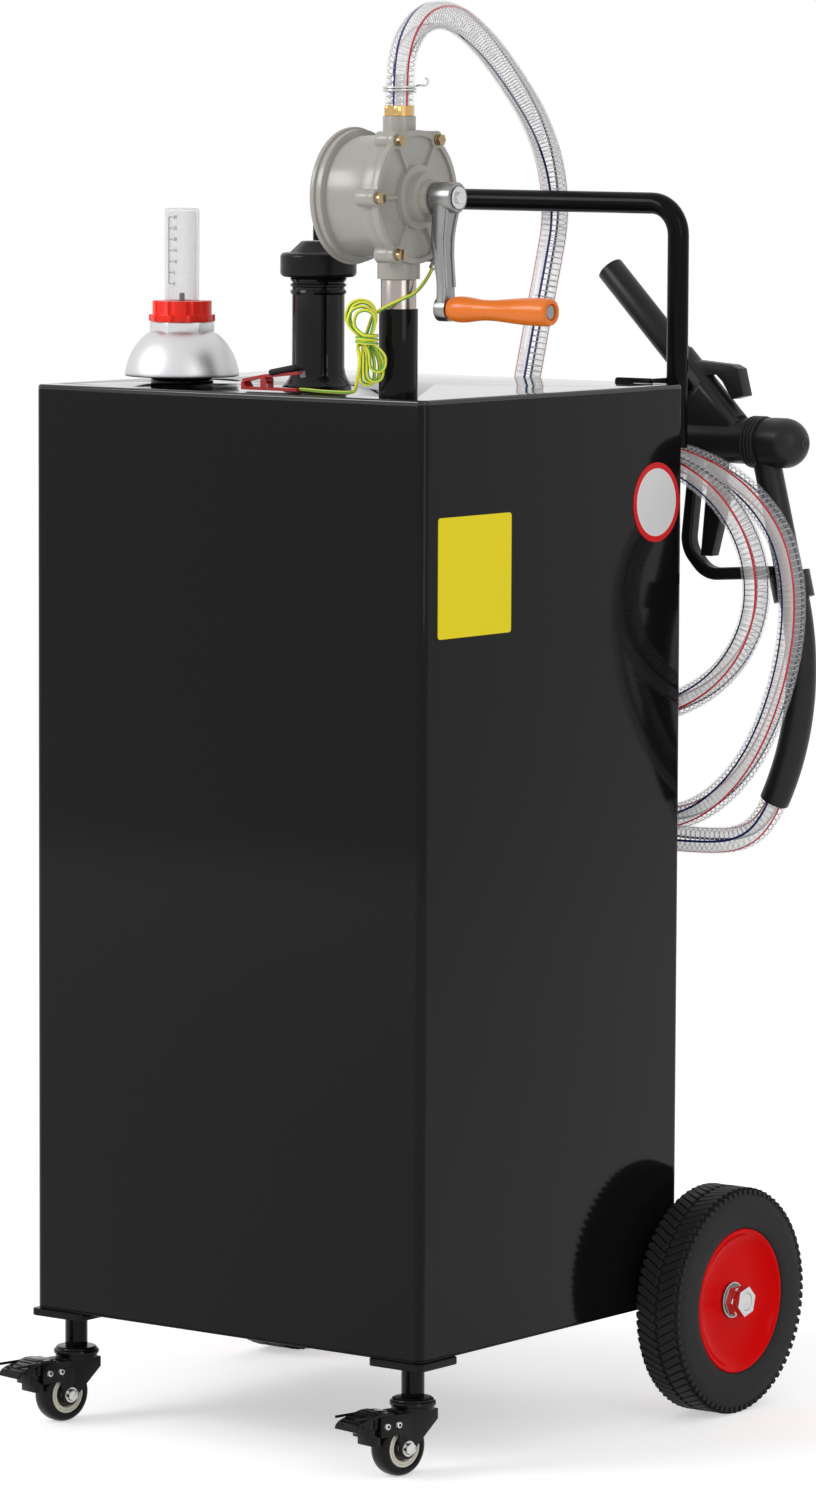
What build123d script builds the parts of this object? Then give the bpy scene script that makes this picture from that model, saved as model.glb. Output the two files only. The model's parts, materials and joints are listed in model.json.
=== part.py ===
from build123d import *
import math
import os

os.makedirs("parts", exist_ok=True)

# A fuel caddy: a steel tank on two casters and two rear wheels, with a hand-cranked vane pump.
# Millimetres, +Z up, -Y is the front. The origin is on the floor, under the middle of the whole
# caddy. Places named x and y below are counted from the tank's centre, and heights from the floor.

# Fits
running_gap = 0.05
part_gap = 0.3
overrun = 1.0
bend_share = 0.45
straight = 1e-9

# Tank
tank_width = 426.0
tank_depth = 382.0
tank_height = 814.0
ground_clearance = 100.0
sheet = 2.0
corner_radius = 8.0
rim_height = 4.0
rim_width = 14.0
rim_round = 2.5
crown_rise = 6.0
crown_edge_rise = 0.2
crown_shares = (-1, -0.5, 0, 0.5, 1)

# Casters
caster_inset_x = 26.0
caster_inset_y = 25.0
caster_toe = 11.0
caster_trail = 17.0
caster_wheel_radius = 25.0
caster_wheel_width = 20.0
caster_hub_radius = 17.5
caster_bore_radius = 3.05
caster_dish_shares = (0.75, 0.45)
plate_width = 57.0
plate_depth = 55.0
plate_thickness = 6.5
plate_overhang = 3.0
plate_round = 5.0
socket_radius = 10.0
socket_length = 27.5
stem_radius = 5.0
head_radius = 18.5
head_height = 10.0
fork_sheet = 2.5
fork_side_gap = 1.0
fork_boss_radius = 9.0
fork_back = 17.0
fork_front = 48.0
fork_crown_front = 30.0
fork_shoulder = 38.0
fork_waist = 27.0
axle_head_radius = 5.0
axle_head_height = 3.0
rivet_radius = 3.0
rivet_height = 1.2
rivet_offsets = (28.0, 41.0)
rivet_drop = 9.0
pedal_reach = 78.0
pedal_back = 34.0
pedal_knee = 51.0
pedal_top = 61.0
pedal_tip_height = 53.0
pedal_sheet = 4.0
pedal_hub_radius = 5.0
pedal_shoe_back = 46.0
pedal_shoe_bottom = 30.0
pedal_wide = 27.0

# Rear wheels
wheel_radius = 101.5
wheel_width = 46.0
wheel_face_out = 52.0
wheel_axle_out = 26.0
wheel_shoulder = 6.0
tyre_seat_radius = 65.0
rim_wall = 3.0
rim_lip = 3.0
rim_web_setback = 14.0
hub_radius = 17.0
hub_length = 35.0
hub_setback = 11.0
axle_radius = 8.0
axle_washer_radius = 16.0
axle_washer = 2.0
axle_nut_flats = 24.0
axle_nut_height = 7.25
axle_nut_count = 2
axle_nut_turn = 15.0
spacer_radius = 12.0
bracket_sheet = 6.0
bracket_inset = 14.0
bracket_boss_radius = 15.0
bracket_height = 55.0

# Push handle and rear hooks
handle_radius = 9.5
handle_wall = 1.5
handle_inset = 15.0
handle_drop = 53.0
handle_rise = 162.0
handle_bend = 28.0
hook_inset = 68.0
hook_radius = 6.0
hook_reach = 66.0
hook_lip = 34.0
hook_bend = 14.0
hook_plate_width = 50.0
hook_plate_height = 44.0
hook_plate = 3.0
holder_length = 22.0
holder_sheet = 3.0
holder_plate_height = 40.0
holder_gap = 0.3
holder_drop = 8.0

# Riser and pump
riser_inset_x = 50.0
riser_inset_y = 30.0
sleeve_radius = 16.5
pipe_radius = 15.0
pipe_bore_radius = 12.0
sleeve_rise = 75.0
sleeve_sink = 12.0
suction_wall = 1.8
suction_foot = 18.0
strainer_radius = 16.0
strainer_height = 30.0
strainer_wall = 1.5
strainer_slots = 8
strainer_slot_width = 3.0
pump_rise = 169.0
cover_out = 16.5
cover_sheet = 3.5
cover_radius = 56.0
pump_lug_radius = 7.5
pump_bolt_circle = 55.0
pump_bolts_count = 6
pump_bolt_radius = 3.0
pump_bolt_head = 5.0
pump_bolt_head_height = 4.0
ring_length = 13.0
ring_radius = 54.0
drum_radius = 51.0
back_out = 51.3
back_step_radius = 56.0
back_step = 6.0
back_radius = 58.0
back_sheet = 5.0
chamber_radius = 44.0
chamber_offset = 4.0
chamber_wall = 4.0
rotor_radius = 34.0
vane_reach = 38.5
vane_thickness = 5.0
vane_count = 4
rib_width = 3.0
rib_height = 3.0
bead_width = 4.5
boss_radius = 27.0
boss_height = 6.0
nose_radius = 21.0
nose_height = 15.0
nose_tip_radius = 15.0
nose_tip_height = 21.0
bush_wall = 3.0
shaft_radius = 7.0
shaft_out = 63.0
low_port_radius = 18.0
low_port_drop = 69.0
high_port_radius = 14.0
high_port_rise = 67.5
port_bore_radius = 9.0
pipe_engagement = 10.0
hex_flats = 24.0
hex_height = 8.5
barb_radius = 9.5
barb_bore_radius = 7.0
barb_length = 27.0
clamp_band = 1.4
clamp_height = 9.0
clamp_drop = 7.5
clamp_screw_radius = 3.5
clamp_screw_length = 17.0

# Crank
crank_radius = 93.0
crank_hub_radius = 13.0
crank_hub_out = 40.0
crank_hub_length = 21.0
crank_boss_radius = 10.5
crank_boss_length = 11.0
crank_bar_width = 16.0
crank_bar_thick = 9.0
crank_back_set = 4.0
crank_bend = 22.0
crank_knee_shares = (0.4, 0.78)
grip_length = 104.0
grip_bulge_radius = 11.0
grip_waist_radius = 9.0
grip_end_radius = 11.5
grip_recess = 3.0
spindle_radius = 4.0
spindle_head_radius = 5.5
grip_shares = (0.03, 0.1, 0.3, 0.6, 0.97)
grip_neck_share = 0.92
grip_lip_share = 0.8

# Filler neck and cap
neck_x = 30.0
neck_inset_y = 91.0
neck_radius = 22.75
neck_wall = 3.0
neck_rise = 112.0
neck_sink = 18.0
neck_bead_drop = 22.0
neck_bead = 1.6
neck_foot_radius = 31.0
neck_foot_height = 16.0
neck_flare_shares = ((0.7, 0.15), (0.4, 0.35), (0.15, 0.6))
cap_radius = 33.0
cap_skirt = 15.0
cap_side = 21.0
cap_round = 4.0
cap_crown = 10.0
cap_sides = 8
cap_shoulder_radius = 25.0
cap_top_radius = 14.5
seal_thickness = 2.5

# Fuel gauge
gauge_inset_x = 96.0
gauge_inset_y = 86.0
bung_radius = 27.5
bung_bore_radius = 22.0
bung_rise = 7.0
bung_sink = 10.0
dome_radius = 50.0
dome_lip = 5.0
dome_shoulder = 40.0
dome_shoulder_share = 0.92
dome_wall = 3.0
dome_rise = 40.0
collar_radius = 25.5
collar_height = 8.0
nut_radius = 26.0
nut_flange_radius = 29.0
nut_flange = 6.0
nut_height = 18.0
nut_lobes = 10
nut_lobe_radius = 3.0
gauge_tube_radius = 15.3
gauge_tube_wall = 2.3
gauge_tube_length = 80.5
gauge_tube_cap = 2.5
stem_tube_radius = 6.0
stem_tube_wall = 2.0
stem_length = 425.0
stem_flange = 3.0
ear_sheet = 3.0
ear_depth = 16.0
pivot_drop = 18.0
pivot_radius = 2.5
arm_length = 255.0
arm_radius = 2.5
arm_hub_radius = 6.0
arm_rest_angle = 58.0
float_radius = 25.0
float_length = 60.0
rod_radius = 1.5
pointer_radius = 6.0
pointer_height = 7.0
pointer_show_share = 0.75
rod_lift = 25.0

# Hose
hose_radius = 12.5
loop_spacing = 27.0
loop_drop = 61.0
sleeve_hose_radius = 13.5

# Places that the hose passes: aside from the pump, share of the way to the rear, above the tank
hose_route = (
    (0.0, 0.000, 279.0),
    (-6.0, 0.055, 304.0),
    (-18.0, 0.164, 321.0),
    (-37.0, 0.342, 322.0),
    (-59.0, 0.549, 298.0),
    (-79.0, 0.740, 263.0),
    (-101.0, 0.915, 229.0),
    (-117.0, 1.038, 190.0),
    (-124.0, 1.087, 144.0),
    (-129.0, 1.071, 98.0),
    (-131.0, 1.033, 48.0),
    (-134.8, 1.000, -8.0),
    (-143.0, 1.000, -58.0),
)
# The loops' outermost places: aside from the hook, and below the loops' top
loops_far = {
    "first left": (-153.0, 115.0),
    "first bottom": (-9.0, 230.0),
    "first right": (135.0, 115.0),
    "first top": (-2.0, 0.0),
    "second left": (-135.0, 118.0),
    "second bottom": (10.0, 327.0),
    "second right": (155.0, 118.0),
    "second top": (2.0, 0.0),
    "third left": (-133.0, 118.0),
    "third bottom": (20.0, 348.0),
}

# Nozzle
nozzle_out = 77.0
spout_radius = 12.5
spout_wall = 2.5
spout_tip = (-95.8, 150.0)
spout_length = 124.0
spout_socket = 15.0
spigot_step = 1.0
spout_angle = 45.0
body_radius = 14.0
body_length = 84.0
body_web_width = 30.0
body_web_round = 7.0
chest_radius = 20.0
chest_inset = 40.5
chest_drop = 49.4
chest_length = 60.0
end_cap_radius = 22.3
end_cap_collar = 13.0
end_cap_out = 94.9
grip_reach = 125.0
grip_bottom = (107.0, -138.0)
grip_radius = 12.5
swivel_radius = 18.5
swivel_length = 24.0
hand_sleeve_middle = (114.2, -224.2)
hand_sleeve_bottom = (87.7, -319.2)
nozzle_hook_width = 14.0
hook_rise = 51.0
hook_arm = 40.0
guard_width = 11.0
guard_depth = 14.0
guard_bend = 26.0
guard_top = (1.0, -17.5)
guard_corner = (-7.5, -96.6)
guard_bottom = (14.5, -120.1)
lever_pivot = (23.5, -28.6)
lever_pin_radius = 3.0
lever_hub_radius = 6.0
lever_tip = (15.5, -103.6)
lever_knee = (22.5, -52.6)
lever_width = 12.0
lever_depth = 14.0
lever_ear = 3.0
lever_shares = (0.9, 0.6, 0.43)
# The body's web below its barrel, counted from the left end of its chest
body_web = (
    (-6.5, 36.0),
    (12.0, 55.0),
    (50.5, 19.0),
    (52.0, -10.0),
    (-8.0, -10.0),
    (-10.0, 20.0),
)
# The hook's outline as shares of its arm, counted from the chest's left end and the hook's top
hook_shares = (
    (-0.1, 0.3),
    (-0.07, 0.0),
    (1.04, 0.08),
    (1.22, 0.16),
    (1.38, 0.76),
    (1.06, 0.84),
    (0.8, 0.45),
    (0.64, 0.31),
    (0.0, 0.36),
)

# Ground wire and clamp
wire_radius = 1.5
terminal_bolt_turn = 300.0
terminal_tilt = 36.87
terminal_radius = 6.0
terminal_sheet = 1.5
terminal_tail = 16.0
barrel_radius = 2.2
barrel_length = 8.0
wire_lead = 9.0
# Places that the wire passes: aside from the pump, behind it, above the tank
upper_route = (
    (19.5, -2.0, 88.0),
    (14.0, -15.0, 83.5),
)
lower_route = (
    (-16.0, -38.0, 10.5),
    (-25.0, -27.0, 5.5),
    (-38.0, -17.0, 3.4),
    (-53.0, -11.0, 2.8),
    (-68.0, -8.5, 2.7),
    (-83.0, -6.0, 2.9),
)
hank_turns = 4
hank_pitch = 3.2
hank_place_from_riser = (-5.7, -36.4)
hank_rise = 49.0
hank_turn_angle = 37.0
hank_side_share = 0.62
hank_waist = 1.8
hank_entry = (2.5, 14.0)
# Each turn's loops below and above the waist: aside, half their width, and their height
hank_bottoms = ((0.5, 5.5, 36.0), (4.0, 6.0, 34.0), (7.0, 6.0, 33.0), (9.0, 6.0, 25.0))
hank_tops = ((-5.0, 11.5, 33.0), (-4.0, 9.5, 31.0), (-4.5, 10.5, 28.0), (-2.0, 8.0, 25.0))
wrap_quarters = 11
wrap_start = 110.0
wrap_aside = 8.5
wrap_out = 10.9
wrap_pitch = 3.3
wrap_rise = 5.0
wrap_exit = (-6.0, -14.0, 6.5)
clip_x = 31.0
clip_inset_y = 26.0
clip_length = 60.0
clip_width = 11.0
clip_sheet = 2.5
clip_rise = 17.0
clip_jaw_length = 24.0
clip_pin_radius = 2.0
clip_pin_rise = 8.6
clip_bite = 6.5
clip_ear = 1.4
clip_boss_shares = (1.5, 1.6)
clip_lip_share = 1.2

# Plates on the right wall
plate_sheet = 0.6
label_inset = 72.0
label_drop = 146.8
label_wide = 104.0
label_high = 102.5
sign_inset = 43.0
sign_drop = 98.0
sign_radius = 35.0

# Places worked out from the sizes above
wall_top = ground_clearance + tank_height
top_face = wall_top + rim_height
half_width = tank_width / 2
rear_face = tank_depth / 2
caster_x = half_width - caster_inset_x
caster_y = caster_inset_y - rear_face
wheel_face_x = half_width + wheel_face_out
wheel_axle_y = rear_face + wheel_axle_out
bracket_x = half_width - bracket_inset
handle_x = half_width - handle_inset
handle_bottom = wall_top - handle_drop
handle_top = wall_top + handle_rise
hook_x = half_width - hook_inset
riser_x = half_width - riser_inset_x
riser_y = riser_inset_y - rear_face
sleeve_top = top_face + sleeve_rise
pump_height = top_face + pump_rise
cover_x = riser_x + cover_out
back_x = riser_x - back_out
shaft_end_x = riser_x + shaft_out
low_port_bottom = pump_height - low_port_drop
high_port_top = pump_height + high_port_rise
crank_hub_x = riser_x + crank_hub_out
neck_y = neck_inset_y - rear_face
neck_top = top_face + neck_rise
neck_bead_height = neck_top - neck_bead_drop
cap_bottom = neck_top - cap_skirt
gauge_x = gauge_inset_x - half_width
gauge_y = gauge_inset_y - rear_face
bung_top = top_face + bung_rise
dome_top = bung_top + dome_rise
stem_bottom = bung_top - stem_length
rod_bottom = stem_bottom + rod_lift
loop_top = wall_top - loop_drop
nozzle_y = rear_face + nozzle_out
chest_x = half_width - chest_inset
chest_z = wall_top - chest_drop
hank_x = riser_x + hank_place_from_riser[0]
hank_y = riser_y + hank_place_from_riser[1]
hank_height = top_face + hank_rise
clip_y = clip_inset_y - rear_face
label_y = label_inset - rear_face
label_z = wall_top - label_drop
sign_y = rear_face - sign_inset
sign_z = wall_top - sign_drop
slope = math.radians(spout_angle)
hub_outer_x = wheel_face_x - hub_setback
nut_end_x = hub_outer_x + part_gap + axle_washer + axle_nut_count * axle_nut_height
spout_shown = spout_length - spout_socket
toe = math.radians(caster_toe)
forward = (-math.sin(toe), -math.cos(toe), 0)
across = (math.cos(toe), -math.sin(toe), 0)
grip_start_x = crank_hub_x + crank_back_set + crank_boss_length + part_gap
grip_end_x = grip_start_x + grip_length
left_reach = max(wheel_face_x, nut_end_x)
right_reach = grip_end_x
front_reach = -caster_y + pedal_reach * math.cos(toe) + pedal_wide / 2 * math.sin(toe)
rear_reach = wheel_axle_y + wheel_radius
tank_x = (left_reach - right_reach) / 2
tank_y = (front_reach - rear_reach) / 2


def level(x, y, z):
    # A horizontal plane at a place counted from the tank's centre
    return Plane(origin=(tank_x + x, tank_y + y, z))


def facing_side(x, y, z):
    # A plane square to X, whose own x is Y and whose own y is Z
    return Plane(origin=(tank_x + x, tank_y + y, z), x_dir=(0, 1, 0), z_dir=(1, 0, 0))


def facing_front(x, y, z):
    # A plane square to Y, whose own x is X and whose own y is Z
    return Plane(origin=(tank_x + x, tank_y + y, z), x_dir=(1, 0, 0), z_dir=(0, -1, 0))


def upright_axis(x, y):
    return Axis((tank_x + x, tank_y + y, 0), (0, 0, 1))


def side_axis(y, z):
    return Axis((tank_x, tank_y + y, z), (1, 0, 0))


def rod(plane, radius, length, mode=Mode.ADD):
    # A round bar that stands on the plane
    with BuildSketch(plane) as face:
        Circle(radius)
    extrude(face.sketch, amount=length, mode=mode)


def ring(plane, outer, inner, length, mode=Mode.ADD):
    # A tube that stands on the plane
    with BuildSketch(plane) as face:
        Circle(outer)
        Circle(inner, mode=Mode.SUBTRACT)
    extrude(face.sketch, amount=length, mode=mode)


def turned(plane, axis, points, mode=Mode.ADD):
    # A solid turned from a closed outline of straight lines
    with BuildSketch(plane) as face:
        with BuildLine():
            Polyline(*points, close=True)
        make_face()
    revolve(face.sketch, axis=axis, mode=mode)


def cut_plate(plane, points, thickness, mode=Mode.ADD):
    # A plate of even thickness, half of it on each side of the plane
    with BuildSketch(plane) as face:
        with BuildLine():
            Polyline(*points, close=True)
        make_face()
    extrude(face.sketch, amount=thickness / 2, both=True, mode=mode)


def crown(x, y):
    # How far the pressed top stands above its rim
    wide = 1 - (x / (half_width - rim_width / 2)) ** 2
    deep = 1 - (y / (rear_face - rim_width / 2)) ** 2
    return crown_rise * wide * deep


def place(x, y, z):
    return Vector(tank_x + x, tank_y + y, z)


def nozzle_place(spot):
    # A place in the nozzle's plane, counted from the left end of its chest
    return place(chest_x + spot[0], nozzle_y, chest_z + spot[1])


def cord_radii(points):
    # The largest arc that each corner of a cord's route has room for
    radii = []
    for before, corner, after in zip(points, points[1:], points[2:]):
        shorter = min((corner - before).length, (after - corner).length)
        turn = (corner - before).get_angle(after - corner)
        radii.append(bend_share * shorter / math.tan(math.radians(turn) / 2))
    return radii


def biarc(start, start_way, finish, finish_way):
    # The middle point of two arcs that leave one place and reach another along given ways
    chord = finish - start
    both = start_way + finish_way
    spread = 1 - start_way.dot(finish_way)
    along = chord.dot(both)
    if spread < straight:
        reach = chord.dot(chord) / (2 * along)
    else:
        reach = (math.sqrt(along ** 2 + 2 * spread * chord.dot(chord)) - along) / (2 * spread)
    first = start + start_way * reach
    second = finish - finish_way * reach
    return (first + second) * 0.5, (second - first).normalized()


def way_length(line):
    return sum(edge.length for edge in line.edges())


def least_gap(line, radius, skip_length):
    # The least clear space between two stretches of one tube
    count = int(way_length(line) / radius)
    dots = [line @ (step / count) for step in range(count + 1)]
    skip = math.ceil(skip_length / radius)
    gaps = []
    for here, dot in enumerate(dots):
        for other in dots[here + skip:]:
            gaps.append((dot - other).length)
    return min(gaps) - 2 * radius


# Tank: floor, wrapped walls and pressed top

with BuildPart() as tank_floor:
    with BuildSketch(level(0, 0, ground_clearance)):
        RectangleRounded(tank_width, tank_depth, corner_radius)
    extrude(amount=sheet)
tank_floor.part.label = "tank_floor"
export_step(tank_floor.part, "parts/tank_floor.step")

with BuildPart() as tank_shell:
    with BuildSketch(level(0, 0, ground_clearance + sheet)):
        RectangleRounded(tank_width, tank_depth, corner_radius)
        RectangleRounded(
            tank_width - 2 * sheet, tank_depth - 2 * sheet, corner_radius - sheet, mode=Mode.SUBTRACT
        )
    extrude(amount=tank_height - sheet)
tank_shell.part.label = "tank_shell"
export_step(tank_shell.part, "parts/tank_shell.step")

with BuildPart() as tank_top:
    with BuildSketch(level(0, 0, wall_top)):
        RectangleRounded(tank_width, tank_depth, corner_radius)
        RectangleRounded(
            tank_width - 2 * rim_width, tank_depth - 2 * rim_width, corner_radius, mode=Mode.SUBTRACT
        )
    extrude(amount=rim_height)
    top_outline = tank_top.faces().sort_by(Axis.Z)[-1].outer_wire().edges()
    fillet(top_outline, radius=rim_round)
    crown_half_width = half_width - rim_width / 2
    crown_half_depth = rear_face - rim_width / 2
    sections = []
    for share in crown_shares:
        rise = crown_rise * (1 - share ** 2) + crown_edge_rise
        with BuildSketch(facing_front(0, share * crown_half_depth, top_face - sheet - crown_edge_rise)) as cut:
            with BuildLine():
                Line((-crown_half_width, 0), (-crown_half_width, sheet))
                ThreePointArc((-crown_half_width, sheet), (0, sheet + rise), (crown_half_width, sheet))
                Line((crown_half_width, sheet), (crown_half_width, 0))
                ThreePointArc((crown_half_width, 0), (0, rise), (-crown_half_width, 0))
            make_face()
        sections.append(cut.sketch)
    loft(sections)
    with Locations(level(riser_x, riser_y, top_face + crown_rise + overrun)):
        Hole(sleeve_radius)
    with Locations(level(neck_x, neck_y, top_face + crown_rise + overrun)):
        Hole(neck_radius)
    with Locations(level(gauge_x, gauge_y, top_face + crown_rise + overrun)):
        Hole(bung_radius)
tank_top.part.label = "tank_top"
export_step(tank_top.part, "parts/tank_top.step")

# Casters

socket_bottom = ground_clearance - plate_thickness - socket_length
head_top = socket_bottom - part_gap
head_bottom = head_top - head_height
fork_inside = caster_wheel_width / 2 + fork_side_gap
fork_outside = fork_inside + fork_sheet
stem_top = ground_clearance - sheet
rivet_z = head_bottom - rivet_drop

with BuildPart() as caster_mounts:
    for side in (-1, 1):
        plate_x = side * (half_width + plate_overhang - plate_width / 2)
        plate_y = -rear_face - plate_overhang + plate_depth / 2
        with BuildSketch(level(plate_x, plate_y, ground_clearance - plate_thickness)) as face:
            RectangleRounded(plate_width, plate_depth, plate_round)
        extrude(face.sketch, amount=plate_thickness)
        rod(level(side * caster_x, caster_y, socket_bottom), socket_radius, socket_length)
        rod(
            level(side * caster_x, caster_y, socket_bottom - overrun),
            stem_radius + running_gap,
            socket_length + plate_thickness - sheet + overrun + running_gap,
            Mode.SUBTRACT,
        )
caster_mounts.part.label = "caster_mounts"
export_step(caster_mounts.part, "parts/caster_mounts.step")

for side, side_name in ((-1, "left"), (1, "right")):
    stem_foot = place(side * caster_x, caster_y, 0)
    lengthwise = Plane(origin=stem_foot, x_dir=forward, z_dir=tuple(-a for a in across))
    wheel_centre = stem_foot + Vector(*forward) * caster_trail + Vector(0, 0, caster_wheel_radius)
    wheel_plane = Plane(origin=wheel_centre, x_dir=forward, z_dir=across)

    with BuildPart() as fork:
        for cheek in (-1, 1):
            cheek_plane = Plane(
                origin=stem_foot + Vector(*across) * cheek * (fork_inside + fork_sheet / 2),
                x_dir=forward,
                z_dir=tuple(-a for a in across),
            )
            outline = (
                (-fork_back, head_bottom),
                (fork_front, head_bottom),
                (fork_front, fork_shoulder),
                (fork_waist, fork_shoulder),
                (caster_trail + fork_boss_radius, caster_wheel_radius),
                (caster_trail - fork_boss_radius, caster_wheel_radius),
                (-fork_back, head_bottom - fork_boss_radius),
            )
            cut_plate(cheek_plane, outline, fork_sheet)
            axle_plane = Plane(
                origin=wheel_centre + Vector(*across) * cheek * fork_inside,
                x_dir=forward,
                z_dir=tuple(cheek * a for a in across),
            )
            rod(axle_plane, fork_boss_radius, fork_sheet)
            rod(axle_plane.offset(fork_sheet), axle_head_radius, axle_head_height)
            for offset_along in rivet_offsets:
                rivet_at = stem_foot + Vector(*forward) * offset_along + Vector(0, 0, rivet_z)
                rivet_plane = Plane(
                    origin=rivet_at + Vector(*across) * cheek * fork_outside,
                    x_dir=forward,
                    z_dir=tuple(cheek * a for a in across),
                )
                rod(rivet_plane, rivet_radius, rivet_height)
        crown_outline = (
            (-fork_back, head_bottom),
            (fork_crown_front, head_bottom),
            (fork_crown_front, head_bottom - fork_sheet),
            (-fork_back, head_bottom - fork_sheet),
        )
        cut_plate(lengthwise, crown_outline, 2 * fork_inside + fork_sheet)
        rod(wheel_plane.offset(-fork_outside), caster_bore_radius - running_gap, 2 * fork_outside)
        pin_plane = Plane(
            origin=stem_foot + Vector(*forward) * rivet_offsets[1] + Vector(0, 0, rivet_z)
            - Vector(*across) * fork_outside,
            x_dir=forward,
            z_dir=across,
        )
        rod(pin_plane, pedal_hub_radius / 2, 2 * fork_outside)
        rod(level(side * caster_x, caster_y, head_bottom), head_radius, head_height)
        fillet(fork.edges().filter_by(GeomType.CIRCLE).group_by(Axis.Z)[-1], radius=head_height / 4)
        rod(level(side * caster_x, caster_y, head_top), stem_radius, stem_top - head_top - part_gap)
    fork.part.label = f"caster_fork_{side_name}"
    export_step(fork.part, f"parts/caster_fork_{side_name}.step")

    with BuildPart() as caster_tyre:
        ring(
            wheel_plane.offset(-caster_wheel_width / 2), caster_wheel_radius, caster_hub_radius,
            caster_wheel_width,
        )
        rims = caster_tyre.edges().filter_by(GeomType.CIRCLE).filter_by(
            lambda edge: edge.radius > caster_hub_radius + part_gap
        )
        fillet(rims, radius=caster_wheel_width / 4)
    caster_tyre.part.label = f"caster_tyre_{side_name}"
    export_step(caster_tyre.part, f"parts/caster_tyre_{side_name}.step")

    with BuildPart() as caster_hub:
        ring(
            wheel_plane.offset(-caster_wheel_width / 2 + fork_side_gap),
            caster_hub_radius, caster_bore_radius, caster_wheel_width - 2 * fork_side_gap,
        )
        for face_side in (-1, 1):
            dish = wheel_plane.offset(face_side * caster_wheel_width / 2)
            ring(
                dish.offset(-fork_side_gap * 2), caster_hub_radius * caster_dish_shares[0],
                caster_hub_radius * caster_dish_shares[1], fork_side_gap * 4, Mode.SUBTRACT,
            )
    caster_hub.part.label = f"caster_hub_{side_name}"
    export_step(caster_hub.part, f"parts/caster_hub_{side_name}.step")

    with BuildPart() as pedal:
        tread_outline = (
            (pedal_knee, pedal_top),
            (pedal_reach, pedal_tip_height),
            (pedal_reach, pedal_tip_height - pedal_sheet),
            (pedal_knee, pedal_top - 2 * pedal_sheet),
        )
        cut_plate(lengthwise, tread_outline, pedal_wide)
        body_outline = (
            (pedal_back, pedal_top - pedal_sheet),
            (pedal_knee, pedal_top),
            (pedal_knee, pedal_shoe_bottom),
            (pedal_shoe_back, pedal_shoe_bottom),
            (pedal_shoe_back, rivet_z - pedal_hub_radius),
            (pedal_back, rivet_z + pedal_hub_radius / 2),
        )
        cut_plate(lengthwise, body_outline, 2 * (fork_inside - part_gap))
        rod(pin_plane, pedal_hub_radius / 2 + running_gap, 2 * fork_outside, Mode.SUBTRACT)
        front_edges = pedal.edges().filter_by(lambda edge: edge.length > pedal_wide - part_gap)
        chamfer(front_edges.sort_by(Axis.Y)[0:2], length=pedal_sheet / 4)
    pedal.part.label = f"brake_pedal_{side_name}"
    export_step(pedal.part, f"parts/brake_pedal_{side_name}.step")

# Rear wheels and their axle

for side, side_name in ((-1, "left"), (1, "right")):
    tyre_in = wheel_face_x - wheel_width
    with BuildPart() as tyre:
        with BuildSketch(facing_front(0, wheel_axle_y, wheel_radius)):
            with BuildLine():
                inner_x = side * tyre_in
                outer_x = side * wheel_face_x
                Polyline(
                    (inner_x, tyre_seat_radius),
                    (outer_x, tyre_seat_radius),
                    (outer_x, wheel_radius - wheel_shoulder),
                    (outer_x - side * wheel_shoulder / 3, wheel_radius - wheel_shoulder / 3),
                    (outer_x - side * wheel_shoulder, wheel_radius),
                    (inner_x + side * wheel_shoulder, wheel_radius),
                    (inner_x + side * wheel_shoulder / 3, wheel_radius - wheel_shoulder / 3),
                    (inner_x, wheel_radius - wheel_shoulder),
                    close=True,
                )
            make_face()
        revolve(axis=side_axis(wheel_axle_y, wheel_radius))
    tyre.part.label = f"tyre_{side_name}"
    export_step(tyre.part, f"parts/tyre_{side_name}.step")

    with BuildPart() as rim:
        lip_x = wheel_face_x - rim_lip
        web_x = wheel_face_x - rim_web_setback
        far_x = wheel_face_x - wheel_width + rim_lip
        hub_in = hub_outer_x - hub_length
        outline = (
            (side * lip_x, tyre_seat_radius - part_gap / 3),
            (side * lip_x, tyre_seat_radius - rim_wall),
            (side * (lip_x - rim_wall / 3), tyre_seat_radius - 2 * rim_wall),
            (side * (hub_outer_x + rim_wall), tyre_seat_radius - 4 * rim_wall),
            (side * hub_outer_x, tyre_seat_radius - 5 * rim_wall),
            (side * hub_outer_x, axle_radius + running_gap),
            (side * hub_in, axle_radius + running_gap),
            (side * hub_in, hub_radius),
            (side * web_x, hub_radius),
            (side * web_x, tyre_seat_radius - 4 * rim_wall),
            (side * (web_x - rim_wall), tyre_seat_radius - rim_wall),
            (side * far_x, tyre_seat_radius - rim_wall),
            (side * far_x, tyre_seat_radius - part_gap / 3),
        )
        turned(
            facing_front(0, wheel_axle_y, wheel_radius), side_axis(wheel_axle_y, wheel_radius), outline
        )
    rim.part.label = f"wheel_rim_{side_name}"
    export_step(rim.part, f"parts/wheel_rim_{side_name}.step")

with BuildPart() as rear_axle:
    rod(
        facing_side(-nut_end_x + part_gap, wheel_axle_y, wheel_radius), axle_radius,
        2 * (nut_end_x - part_gap),
    )
rear_axle.part.label = "rear_axle"
export_step(rear_axle.part, "parts/rear_axle.step")

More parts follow.
